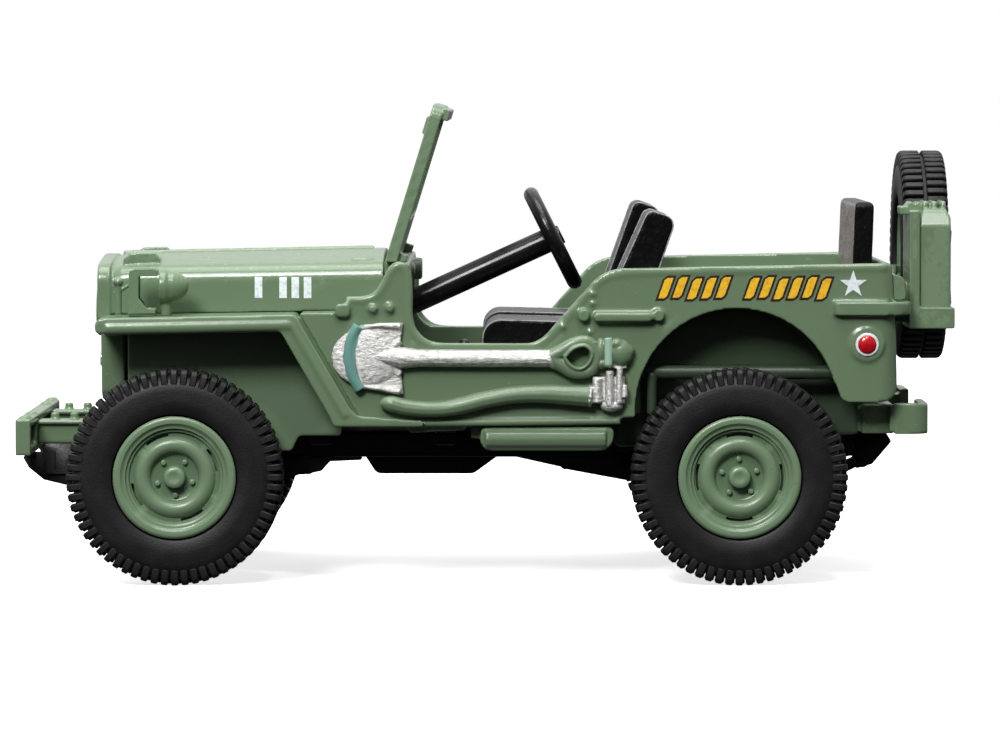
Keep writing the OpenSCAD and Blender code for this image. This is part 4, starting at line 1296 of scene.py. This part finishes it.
@dataclass
class CastTools:
    """The shovel and the axe cast on the left side; each prong is (x, lean, low, high, radius)."""

    shop: Shop
    face_y: float = 11.5
    blade_outline: tuple = (
        (4.8, 14.77), (4.9, 14.1), (5.0, 13.4), (5.0, 12.2), (4.85, 11.5), (4.78, 10.75), (5.4, 10.92),
        (6.5, 11.0), (7.3, 11.08), (7.85, 11.6), (8.35, 12.2), (8.62, 12.95), (8.5, 13.5), (8.05, 14.1),
        (7.6, 14.5), (7.05, 14.68), (5.8, 14.72),
    )
    grip_line: tuple = (
        (-3.4, 12.8), (-4.1, 13.2), (-4.8, 13.6), (-5.5, 13.72), (-5.95, 13.3), (-6.0, 12.6), (-5.6, 12.05),
        (-4.8, 12.0), (-4.1, 12.4), (-3.4, 12.8),
    )
    grip_radii: tuple = (0.46, 0.4, 0.36, 0.36, 0.36, 0.36, 0.4, 0.46)
    ring_line: tuple = (
        (-4.25, 12.85), (-4.75, 13.35), (-5.4, 13.5), (-5.8, 13.1), (-5.6, 12.5), (-5.1, 12.2), (-4.6, 12.4),
        (-4.25, 12.85),
    )
    handle_line: tuple = (
        (6.1, 10.2), (5.85, 10.24), (5.45, 10.22), (4.6, 10.02), (3.5, 9.92), (2.4, 9.96), (1.3, 10.17),
        (0.2, 10.45), (-1.5, 10.73), (-3.2, 10.78), (-4.4, 10.72), (-5.8, 10.65),
    )
    handle_radii: tuple = (0.14, 0.36, 0.48, 0.47, 0.46, 0.47, 0.5, 0.5, 0.5, 0.54, 0.58, 0.64)
    prongs: tuple = (
        (-6.12, 0.06, 10.3, 11.6, 0.29), (-6.8, 0.0, 10.15, 12.1, 0.26), (-7.32, -0.04, 10.25, 12.2, 0.22),
        (-7.66, 0.0, 10.6, 11.3, 0.17),
    )

    def build(self) -> None:
        """Builds the tools and fits them."""
        self.shovel()
        self.axe()

    def on_side(self, line: Sequence[Flat], proud: float, steps: int = 4) -> list[Vector]:
        """A smooth path on the tub's left side.

        Args:
            line: (x, z) of its places in mm.
            proud: how far it stands out from the side.
            steps: how finely it is filled in.

        Returns:
            The path.
        """
        return Bench.smooth_path([(x, self.face_y + proud, z) for x, z in line], steps)

    def bar(self, line: Sequence[Flat], proud: float, radii: Sequence[float], flat: float = 1.0) -> Piece:
        """A round bar along a line on the tub's left side.

        Args:
            line: (x, z) of its places in mm.
            proud: how far its middle stands out from the side.
            radii: its radius at its start and end, or at every point, in mm.
            flat: how far it is pressed towards the side, 1 for round.

        Returns:
            The bar.
        """
        return Bench.tube(self.on_side(line, proud), radii, flat)

    def lump(self, x: float, z: float, proud: float, size: Point) -> Piece:
        """A rounded lump on the tub's left side."""
        return Bench.button((x, self.face_y + proud, z), size, 20)

    def shovel(self) -> None:
        """The shovel: a pointed blade with rolled edges, its socket, shaft, strap and open grip."""
        y = self.face_y
        blade = Bench.slab([Vector((x, y - 0.1, z)) for x, z in self.blade_outline], Vector((0, 0.42, 0)))
        crown = self.lump(6.9, 12.85, 0.3, (3.9, 0.42, 3.3))
        socket_line = ((7.1, 12.9), (6.0, 12.86), (4.9, 12.82), (4.0, 12.8))
        socket = self.bar(socket_line, 0.3, (0.1, 0.34, 0.62, 0.52), 0.8)
        gussets = [
            self.bar(
                ((7.0, 12.9), (5.7, 12.85 + sign * 0.42), (4.95, 12.82 + sign * 0.95)), 0.24, (0.08, 0.24), 0.8
            )
            for sign in (1, -1)
        ]
        edges = [
            self.bar(line, 0.3, (0.1, 0.2))
            for line in (((7.3, 14.5), (6.2, 14.62), (4.95, 14.6)), ((7.2, 11.2), (6.2, 11.1), (4.95, 10.9)))
        ]
        strap_line = ((7.3, 14.6), (7.68, 13.9), (7.8, 12.9), (7.65, 11.9), (7.2, 11.0))
        strap = self.bar(strap_line, 0.22, (0.34, 0.34), 0.95)
        shaft = self.bar(((4.6, 12.8), (0.5, 12.78), (-3.7, 12.78)), 0.3, (0.5, 0.5), 0.95)
        grip = Bench.tube(self.on_side(self.grip_line, 0.36, 6), self.grip_radii, 0.95)
        bar = self.bar(((-5.85, 13.7), (-5.95, 12.85), (-5.8, 12.0)), 0.38, (0.34, 0.3), 0.9)
        ring = Bench.tube(self.on_side(self.ring_line, 0.72, 3), (0.1, 0.1))
        made = [blade, crown, socket, *gussets, *edges, strap, shaft, grip, bar, ring]
        piece = Bench.join(made, "shovel_casting")
        Bench.enamel_over(piece, 0.05, 3, 110_000)
        self.shop.fit(piece, Slot.SILVER, [self.shop.finishes.shovel], ["shovel"])

    def axe(self) -> None:
        """The axe: a bowed round handle, a ribbed head and the lumpy clamp above it."""
        y = self.face_y
        handle = self.bar(self.handle_line, 0.36, self.handle_radii, 0.95)
        prongs = [
            self.bar(((x, low), (x + lean, high)), 0.5, (radius, radius * 0.85), 0.9)
            for x, lean, low, high, radius in self.prongs
        ]
        web = Bench.block((-6.75, y + 0.22, 11.0), (1.8, 0.5, 1.5))
        toe = self.lump(-6.9, 10.1, 0.3, (1.3, 0.8, 0.7))
        pillar = self.bar(((-6.72, 12.3), (-6.75, 13.2), (-6.72, 13.95)), 0.5, (0.26, 0.24), 1.1)
        clamp = [
            self.lump(-7.45, 13.1, 0.3, (1.35, 1.0, 1.55)), self.lump(-7.2, 13.6, 0.35, (0.8, 0.8, 0.7)),
            self.lump(-7.85, 13.2, 0.25, (0.7, 0.8, 0.8)), self.lump(-6.3, 13.2, 0.32, (0.7, 0.8, 1.5)),
            self.lump(-6.35, 12.5, 0.3, (0.6, 0.8, 0.6)), Bench.block((-7.0, y + 0.2, 13.0), (1.5, 0.5, 1.5)),
        ]
        piece = Bench.join([handle, web, toe, pillar, *prongs, *clamp], "axe_casting")
        Bench.enamel_over(piece, 0.05, 3, 110_000)
        self.shop.fit(piece, Slot.SILVER, [self.shop.finishes.axe], ["axe"])


@dataclass
class Marks:
    """Plain printed marks: a star and a slanted flash behind each door, and white bars on the hood."""

    shop: Shop
    lift: float = 0.03
    tub_y: float = 11.5
    star: tuple = (-20.48, 16.93)
    star_radius: float = 0.8
    flash_x: tuple = (-9.55, -19.25)
    flash_z: float = 16.72
    flash_tall: float = 1.15
    flash_count: tuple = (5, 6)
    bars_x: tuple = (13.45, 9.95)
    bars_z: float = 16.62
    bars_tall: float = 1.2
    slant: float = 0.35

    def plate(self, outline: Sequence[Flat], side: Side, y: float, thick: float) -> Piece:
        """A thin plate by its side-view outline.

        Args:
            outline: (x, z) of its corners in mm.
            side: the side of the car it is on.
            y: its inner face's distance from the middle.
            thick: its thickness in mm.

        Returns:
            The plate.
        """
        points = [Vector((x, side.value * y, z)) for x, z in outline]
        return Bench.slab(points, Vector((0, side.value * thick, 0)))

    def star_outline(self) -> list[Flat]:
        """The star's ten corners."""
        x, z = self.star
        corners = []
        for corner in range(10):
            reach = self.star_radius * (1 if corner % 2 == 0 else 0.382)
            angle = math.radians(90 + 36 * corner)
            corners.append((x + reach * math.cos(angle), z + reach * math.sin(angle)))
        return corners

    def lozenge(self, x: float, z: float, wide: float, tall: float) -> list[Flat]:
        """A slanted bar with cut corners, its middle at (x, z)."""
        cut = wide * 0.3
        raw = (
            (-wide / 2, -tall / 2 + cut), (-wide / 2 + cut, -tall / 2), (wide / 2, -tall / 2),
            (wide / 2, tall / 2 - cut), (wide / 2 - cut, tall / 2), (-wide / 2, tall / 2),
        )
        return [(x + px - py * self.slant, z + py) for px, py in raw]

    def flash(self) -> list[Point]:
        """Middle and width of each slanted bar of the flash, in two groups."""
        start, end = self.flash_x
        total = sum(self.flash_count) + 1
        pitch = (end - start) / total
        places = []
        for index in range(total):
            if index == self.flash_count[0]:
                continue
            height = self.flash_z + 0.05 * math.sin(index * 2.1)
            places.append((start + pitch * (index + 0.5), height, abs(pitch) * 0.56))
        return places

    def build(self) -> None:
        """Builds the marks and fits them."""
        finishes = self.shop.finishes
        for side in Side:
            tag = side.name.lower()
            star = self.plate(self.star_outline(), side, self.tub_y - 0.02, self.lift + 0.02)
            star.name = f"star_{tag}"
            self.shop.fit(star, Slot.GREEN, [finishes.white])
            under, over = [], []
            for x, z, wide in self.flash():
                edge = self.lozenge(x, z, wide + 0.24, self.flash_tall + 0.26)
                under.append(self.plate(edge, side, self.tub_y - 0.02, 0.04))
                over.append(self.plate(self.lozenge(x, z, wide, self.flash_tall), side, self.tub_y, 0.045))
            self.shop.fit(Bench.join(under, f"flash_outline_{tag}"), Slot.GREEN, [finishes.outline])
            self.shop.fit(Bench.join(over, f"flash_{tag}"), Slot.GREEN, [finishes.yellow])
            self.hood_bars(side)

    def hood_bars(self, side: Side) -> None:
        """White bars on one side of the hood, bent onto its surface.

        Args:
            side: which side.
        """
        start, end = self.bars_x
        count = 5
        pitch = (end - start) / count
        bars = []
        for index in range(count):
            if index == 1:
                continue
            x = start + pitch * (index + 0.5)
            Bench.clear()
            bpy.ops.mesh.primitive_grid_add(
                x_subdivisions=3, y_subdivisions=6, size=MM,
                location=Vector((x, side.value * 9.2, self.bars_z)) * MM, rotation=(math.pi / 2, 0, 0),
            )
            bpy.context.object.scale = (abs(pitch) * 0.62, self.bars_tall, 1)
            bars.append(Bench.done())
        piece = Bench.join(bars, f"hood_bars_{side.name.lower()}")
        Bench.modify(
            piece, "SHRINKWRAP", target=bpy.data.objects["hood_casting"], wrap_method="PROJECT",
            use_project_x=False, use_project_y=True, use_negative_direction=True, use_positive_direction=True,
            offset=0.02 * MM,
        )
        Bench.edit(piece)
        bpy.ops.mesh.select_all(action="SELECT")
        bpy.ops.mesh.normals_make_consistent(inside=False)
        Bench.done()
        self.shop.fit(piece, Slot.GREEN, [self.shop.finishes.white])


# ---------------------------------------------------------------- cabin


@dataclass
class Cabin:
    """Seats, steering and levers."""

    shop: Shop
    skin: float = 0.08
    piping_radius: float = 0.04
    piping_sunk: float = 0.05

    def seat(self, name: str, node: str, piped: bool) -> None:
        """A seat with rounded cushions.

        Args:
            name: the piece's name.
            node: the frame node that it stands for.
            piped: whether it has piping along the edges of both sides.
        """
        finishes = self.shop.finishes
        piece = self.shop.copy_of(name, node)
        if piped:
            self.shop.fit(self.piping(name, node), Slot.SEAT, [finishes.piping])
        Bench.enamel_over(piece, self.skin, 4, 60_000)
        self.shop.fit(piece, Slot.SEAT, [finishes.hide if piped else finishes.painted_front_light_hide], [node])

    def piping(self, name: str, node: str) -> Piece:
        """Round piping that follows the outline of a seat's two sides.

        Args:
            name: the seat's name.
            node: the frame node that gives the outline.

        Returns:
            The piping.
        """
        low, high = Shop.box(node)
        outline = self.shop.copy_of(f"{name}_piping", node)

        def inside(middle: Vector, normal: Vector) -> bool:
            """Whether a face is anything but an outer side of the seat."""
            return abs(normal.y) < 0.99 or min(abs(middle.y - low.y), abs(middle.y - high.y)) > 0.03

        Bench.edit(outline)
        bpy.ops.mesh.select_all(action="SELECT")
        bpy.ops.mesh.dissolve_limited(angle_limit=math.radians(1))
        bpy.ops.mesh.select_all(action="DESELECT")
        Bench.pick(outline, inside)
        bpy.ops.mesh.delete(type="FACE")
        bpy.ops.mesh.select_all(action="SELECT")
        bpy.ops.mesh.delete(type="ONLY_FACE")
        Bench.done()
        Bench.focus(outline)
        bpy.ops.object.convert(target="CURVE")
        outline.data.bevel_depth = self.piping_radius * MM
        outline.data.bevel_resolution = 2
        bpy.ops.object.convert(target="MESH")
        squeeze = 1 - 2 * self.piping_sunk / (high.y - low.y)
        outline.location.y = (1 - squeeze) * (low.y + high.y) / 2 * MM
        outline.scale.y = squeeze
        made = Bench.done(f"{name}_piping")
        made.data.shade_smooth()
        return made

    def build(self) -> None:
        """Builds the cabin and fits it."""
        self.seat("driver_seat_cushions", "driver_seat", True)
        self.seat("passenger_seat_cushions", "passenger_seat", True)
        self.seat("rear_seat_cushions", "rear_seat", False)
        for name, node, skin, rounds, most in (
            ("steering_wheel_rim", "steering_wheel", 0.06, 2, 60_000),
            ("steering_column_tube", "steering_column", 0.08, 2, 20_000),
            ("gear_lever_set", "gear_levers", 0.05, 1, 20_000),
        ):
            finish = self.shop.finishes.gloss_black
            self.shop.cast(name, (node,), skin, rounds, most, slot=Slot.BLACK, finish=finish)


# ---------------------------------------------------------------- running gear


@dataclass
class Chassis:
    """The black underside and the painted ends of the frame."""

    shop: Shop
    rail_y: float = 4.9
    leaf_reach: float = 3.2
    leaf_foot: float = 4.3
    plain_nodes: tuple = (
        "chassis_frame", "gearbox_skid", "propeller_shafts", "silencer", "front_axle_case", "rear_axle_case",
    )

    def springs(self, node: str, name: str, axle_x: float, extras: list[Piece]) -> None:
        """Leaf springs with their stepped leaves, bolts and clamps.

        Args:
            node: the frame node.
            name: the piece's name.
            axle_x: where the axle is.
            extras: other details that are joined to it.
        """
        for side in Side:
            y = side.value * self.rail_y
            for leaf in range(3):
                size = (self.leaf_reach * (1.6 - 0.45 * leaf), 1.0, 0.11)
                extras.append(Bench.block((axle_x, y, self.leaf_foot - 0.02 - 0.14 * leaf), size))
            for x in (axle_x - 0.75, axle_x + 0.75):
                extras.append(Bench.drum((x, y, self.leaf_foot + 0.4), 0.16, 2.0, UP, 10))
        piece = Bench.join([self.shop.copy_of(name, node), *extras], name)
        Bench.modify(piece, "BEVEL", width=0.04 * MM, segments=1, limit_method="ANGLE")
        Bench.crease(piece, 35)
        self.shop.fit(piece, Slot.BLACK, [self.shop.finishes.black], [node])

    def build(self) -> None:
        """Builds the chassis pieces and fits them."""
        black = self.shop.finishes.black
        for node in self.plain_nodes:
            self.shop.cast(f"{node}_moulding", (node,), 0.12, 2, 40_000, slot=Slot.BLACK, finish=black)
        shackles = []
        for side in Side:
            y = side.value * (self.rail_y + 0.5)
            shackles += [
                Bench.block((25.15, y, 6.55), (0.5, 0.5, 1.3)),
                Bench.block((24.55, y, 5.95), (1.5, 0.45, 0.2)),
                Bench.drum((24.0, y, 6.5), 0.3, 0.5, ACROSS, 16),
            ]
        self.springs("front_leaf_springs", "front_spring_leaves", 17.65, shackles)
        wedges = []
        for side in Side:
            y = side.value * self.rail_y - 0.5
            points = [Vector((x, y, z)) for x, z in ((-0.7, 7.0), (-4.5, 6.15), (-4.5, 7.0))]
            wedges.append(Bench.slab(points, Vector((0, 1.0, 0))))
        self.springs("rear_leaf_springs", "rear_spring_leaves", -14.1, wedges)
        bolts = [
            Bench.drum((x, side.value * self.rail_y, 9.1), 0.26, 0.5, UP, 12)
            for side in Side
            for x in (24.9, 23.8)
        ]
        studs = [
            Bench.drum((26.3, y, 9.27), 0.28, 0.24, UP, 12) for y in (-9.7, -8.6, 8.6, 9.7, -4.9, 4.9)
        ]
        web = Bench.block((-21.1, 0, 9.2), (0.35, 18.0, 1.4))
        cheeks = [Bench.block((-22.9, side.value * 9.55, 9.27), (0.45, 0.7, 1.55)) for side in Side]
        for name, node, most, extras in (
            ("frame_horn_castings", "frame_horns", 60_000, bolts),
            ("front_bumper_channel", "front_bumper", 60_000, studs),
            ("rear_crossmember_channel", "rear_crossmember", 30_000, [web]),
            ("rear_bumperette_castings", "rear_bumperettes", 60_000, cheeks),
        ):
            self.shop.cast(name, (node,), 0.08, 3, most, extras)


@dataclass
class Wheel:
    """One wheel and tyre, made once about the Y axis with its dished face to +Y."""

    shop: Shop
    width: float = 2.7
    tyre_radius: float = 6.1
    rim_radius: float = 3.45
    steps: int = 96
    lugs: int = 64
    row_lag: float = 100.0
    nuts: int = 5
    slots: int = 4

    def rim(self, name: str, slot_turn: float, nut_turn: float) -> Piece:
        """The pressed disc with its slots, nuts and hub cap.

        Args:
            name: the piece's name.
            slot_turn: where the first slot is, in degrees.
            nut_turn: where the first nut is, in degrees.

        Returns:
            The rim, with faces of a second material in its slots, a near-black one painted as their shadow.
        """
        face, r = self.width / 2, self.rim_radius
        profile = (
            (-face + 0.4, 0.0), (-face + 0.4, 1.1), (-face + 0.9, 1.3), (-face + 0.9, 2.7), (-face + 0.3, 2.95),
            (-face + 0.3, r - 0.22), (face - 0.6, r - 0.22), (face - 0.36, r - 0.02), (face - 0.14, r),
            (face - 0.04, r - 0.08), (face - 0.01, r - 0.2), (face - 0.04, r - 0.4), (face - 0.16, r - 0.5),
            (face - 0.2, r - 0.6), (face - 0.2, r - 0.68), (face - 0.34, r - 0.72), (face - 0.38, r - 0.8),
            (face - 0.38, r - 0.86), (face - 0.52, r - 0.9), (face - 0.56, 2.52), (face - 0.56, 2.3),
            (face - 0.42, 2.2), (face - 0.3, 2.05), (face - 0.25, 1.85), (face - 0.28, 1.65), (face - 0.38, 1.48),
            (face - 0.56, 1.38), (face - 0.7, 1.32), (face - 0.74, 1.24), (face - 0.74, 0.66), (face - 0.3, 0.62),
            (face - 0.12, 0.57), (face - 0.05, 0.46), (face - 0.05, 0.3), (face - 0.09, 0.2), (face - 0.09, 0.0),
        )
        disc = Bench.lathe(profile, self.steps)

        def in_slot(middle: Vector, normal: Vector) -> bool:
            """Whether a face is on the ring that the slots pierce, within a slot's arc."""
            radius = math.hypot(middle.x, middle.z)
            if middle.y < 0 or not 2.3 < radius < 2.52:
                return False
            around = math.degrees(math.atan2(middle.z, -middle.x)) - slot_turn
            pitch = 360 / self.slots
            return abs((around + pitch / 2) % pitch - pitch / 2) < 17

        Bench.edit(disc)
        Bench.pick(disc, in_slot)
        bpy.ops.mesh.inset(thickness=0.03 * MM)
        bpy.ops.mesh.extrude_region_move(TRANSFORM_OT_translate={"value": (0, -0.45 * MM, 0)})
        mesh = bmesh.from_edit_mesh(disc.data)
        # The slots' floors take the second material, painted dark as shadow.
        for piece_face in mesh.faces:
            piece_face.material_index = int(piece_face.select)
        bmesh.update_edit_mesh(disc.data)
        Bench.done()
        nut = Bench.drum((-1.02, face - 0.66, 0), 0.17, 0.26, ACROSS, 6)
        Bench.modify(nut, "BEVEL", width=0.05 * MM, segments=2)
        nuts = Bench.ring_of(nut, self.nuts)
        Bench.turn(nuts, nut_turn, "Y")
        made = Bench.join([disc, nuts], name)
        Bench.crease(made, 38)
        return made

    def tyre(self) -> Piece:
        """The tyre: a carcass and two rows of tread lugs, a little over a quarter of a pitch apart."""
        face, bead, top = self.width / 2, self.rim_radius - 0.22, self.tyre_radius
        half = (
            (face - 0.55, bead), (face - 0.4, self.rim_radius + 0.06), (face - 0.08, self.rim_radius + 0.1),
            (face, self.rim_radius + 0.22), (face, self.rim_radius + 0.9), (face - 0.01, 4.9), (face - 0.06, 5.2),
            (face - 0.16, 5.45), (face - 0.34, 5.63), (face - 0.6, 5.75), (face - 1.1, 5.8),
        )
        profile = [*half, *((-y, r) for y, r in reversed(half))]
        profile.append(profile[0])
        carcass = Bench.lathe(profile, self.steps)
        rows = []
        for sign in (1, -1):
            lug = Bench.block((0, sign * (face * 0.5 + 0.02), (top + 5.2) / 2), (0.39, face - 0.14, top - 5.2))
            Bench.edit(lug)
            bpy.ops.mesh.select_mode(type="EDGE")
            mesh = bmesh.from_edit_mesh(lug.data)
            for edge in mesh.edges:
                middle = (edge.verts[0].co + edge.verts[1].co) / 2 / MM
                edge.select_set(middle.z > top - 0.1 and sign * middle.y > face - 0.2)
            bmesh.update_edit_mesh(lug.data)
            bpy.ops.mesh.bevel(offset=0.3 * MM, segments=3)
            Bench.done()
            steep = math.radians(50)
            Bench.modify(lug, "BEVEL", width=0.06 * MM, segments=1, limit_method="ANGLE", angle_limit=steep)
            row = Bench.ring_of(lug, self.lugs)
            if sign < 0:
                Bench.turn(row, self.row_lag / self.lugs, "Y")
            rows.append(row)
        made = Bench.join([carcass, *rows], "tyre_master")
        Bench.crease(made, 40)
        return made

    def place(self, piece: Piece, facing: Facing, node: str) -> None:
        """Turns a wheel or tyre to face its way and moves it onto its node's middle.

        Args:
            piece: a wheel or tyre made about the Y axis.
            facing: where its dished face looks.
            node: the frame node whose middle it takes.
        """
        low, high = Shop.box(node)
        if facing is not Facing.LEFT:
            Bench.turn(piece, facing.value, "Z")
        Bench.shift(piece, tuple((low + high) / 2))

    def build(self) -> None:
        """Builds the five wheels and fits them."""
        finishes = self.shop.finishes
        tyre = self.tyre()
        for place, body, facing, slot_turn, nut_turn in (
            ("front_left", "front_wheelset", Facing.LEFT, 24, 56),
            ("front_right", "front_wheelset", Facing.RIGHT, 50, 0),
            ("rear_left", "rear_wheelset", Facing.LEFT, 0, -52),
            ("rear_right", "rear_wheelset", Facing.RIGHT, 15, 30),
            ("spare", "car", Facing.REAR, 40, 10),
        ):
            rim = self.rim(f"{place}_wheel", slot_turn, nut_turn)
            self.place(rim, facing, f"{place}_tyre")
            materials = [finishes.wheel_enamel, finishes.slot_floor_shadow]
            self.shop.fit(rim, Slot.GREEN_PLASTIC, materials, [f"{place}_rim"], body)
            cover = Bench.copy(tyre, f"{place}_tyre_rubber")
            self.place(cover, facing, f"{place}_tyre")
            self.shop.fit(cover, Slot.TYRE, [finishes.rubber], [f"{place}_tyre"], body)
        bpy.data.objects.remove(tyre)
        self.shop.keep("front_axle_rod", finishes.steel)
        self.shop.keep("rear_axle_rod", finishes.steel)


@dataclass
class Stowage:
    """What hangs on the tail: the can in its tray and the spare wheel's carrier."""

    shop: Shop

    def build(self) -> None:
        """Builds the stowage and fits it."""
        low, high = Shop.box("jerry_can")
        middle = (low + high) / 2
        ribs = []
        for x in (low.x, high.x):
            for tilt in (1, -1):
                run = Vector((0, tilt * 0.75, 1))
                ribs.append(Bench.drum((x, middle.y, middle.z - 0.3), 0.14, 5.2, run, 12))
        ribs.append(Bench.block(((high.x - 24.2) / 2, middle.y + 0.3, high.z - 0.55), (1.9, 2.2, 0.5)))
        ridge_x = [-23.95 + (low.x + 0.45 + 23.95) * step / 4 for step in range(5)]
        ribs += [Bench.drum((x, middle.y + 0.3, high.z - 0.2), 0.17, 2.2, ACROSS, 12) for x in ridge_x]
        self.shop.cast("jerry_can_shell", ("jerry_can",), 0.07, 3, 40_000, ribs)
        self.shop.cast("can_tray_casting", ("jerry_can_tray",), 0.07, 8, 30_000)
        self.shop.cast("spare_wheel_bracket", ("spare_carrier",), 0.07, 3, 30_000)


# ---------------------------------------------------------------- studio


@dataclass
class Studio:
    """The pale floor, soft lights and camera."""

    target: tuple = (-0.64, 12.4, 11.88)
    distance: float = 300.0
    pitch: float = 3.0
    focal: float = 192.7
    ambient: float = 2.2
    floor_size: float = 640.0
    floor_glow: float = 0.72
    sky_by_height: tuple = ((0.0, 0.05), (0.47, 0.04), (0.52, 0.3), (0.75, 0.5), (1.0, 0.8))
    sky_by_depth: tuple = ((0.0, 1.0), (0.35, 0.9), (0.6, 0.35), (1.0, 0.12))
    lamps: tuple = (
        ("overhead_softbox", (20, 60, 400), 260, 1.3),
        ("key_softbox", (120, 330, 260), 110, 1.5),
        ("edge_softbox", (-40, 260, 330), 30, 0.32),
    )

    def lamp(self, name: str, place: Point, size: float, power: float) -> None:
        """A soft square light aimed at the car.

        Args:
            name: its name.
            place: where it hangs, in mm.
            size: its side in mm.
            power: its power in watts.
        """
        data = bpy.data.lights.new(name, "AREA")
        data.size = size * MM
        data.energy = power
        light = bpy.data.objects.new(name, data)
        light.location = Vector(place) * MM
        aim = Vector((0, 0, 9)) * MM - light.location
        light.rotation_euler = aim.to_track_quat("-Z", "Y").to_euler()
        bpy.context.scene.collection.objects.link(light)

    def floor(self) -> None:
        """A plain pale floor that throws no light back on the car."""
        Bench.clear()
        bpy.ops.mesh.primitive_plane_add(size=self.floor_size * MM, location=(0, 0, 0))
        floor = Bench.done("studio_floor")
        paint = Paint("studio_floor_paper")
        tint = paint.noise(paint.place(), 0.02, 2)
        paint.dress(
            Base_Color=paint.blend(tint, shade(226, 226, 226), shade(232, 232, 232)), Roughness=0.9,
            Specular_IOR_Level=0.0, Emission_Color=(1.0, 1.0, 1.0, 1.0), Emission_Strength=self.floor_glow,
        )
        floor.data.materials.append(paint.material)
        floor.visible_diffuse = False
        floor.visible_glossy = False

    def sky(self) -> None:
        """White behind the car for the eye; for light, bright behind and above it and dark below it."""
        world = bpy.data.worlds.new("studio_sky")
        bpy.context.scene.world = world
        world.use_nodes = True
        graph, white = Graph(world.node_tree), (1, 1, 1, 1)
        _, depth, height = graph.axes(graph.wire(graph.node("ShaderNodeTexCoord"), "Generated"))
        light = graph.ramp(height, self.sky_by_height) * graph.ramp(depth, self.sky_by_depth) * self.ambient
        lit = graph.node("ShaderNodeBackground", None, {"Color": white, "Strength": light})
        seen = graph.node("ShaderNodeBackground", None, {"Color": white})
        eye = graph.wire(graph.node("ShaderNodeLightPath"), "Is Camera Ray")
        mixed = graph.node("ShaderNodeMixShader", None, {0: eye, 1: graph.wire(lit), 2: graph.wire(seen)})
        graph.node("ShaderNodeOutputWorld", None, {"Surface": graph.wire(mixed)})

    def camera(self) -> None:
        """The camera, level with the car's left side and a little above."""
        data = bpy.data.cameras.new("side_camera")
        camera = bpy.data.objects.new("side_camera", data)
        bpy.context.scene.collection.objects.link(camera)
        pitch = math.radians(self.pitch)
        target = Vector(self.target) * MM
        camera.location = target + Vector((0, math.cos(pitch), math.sin(pitch))) * self.distance * MM
        camera.rotation_euler = (target - camera.location).to_track_quat("-Z", "Y").to_euler()
        data.sensor_width = 36
        data.lens = self.focal
        data.clip_start = 0.01
        data.clip_end = 20
        bpy.context.scene.camera = camera

    def build(self) -> None:
        """Sets the studio up."""
        self.camera()
        self.sky()
        self.floor()
        for name, place, size, power in self.lamps:
            self.lamp(name, place, size, power)
        bpy.context.scene.view_settings.view_transform = "Standard"
        bpy.context.scene.view_settings.look = "None"


def main() -> None:
    """Builds the toy round its frame and reports each piece."""
    logging.basicConfig(level=logging.INFO, format="%(name)s %(message)s", stream=sys.stdout, force=True)
    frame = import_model()
    Studio().build()
    shop = Shop(frame, Finishes())
    for assembly in (
        BodyCastings(shop), Fittings(shop), CastTools(shop), Marks(shop), Cabin(shop), Chassis(shop), Wheel(shop),
        Stowage(shop),
    ):
        assembly.build()


if __name__ == "__main__":
    main()
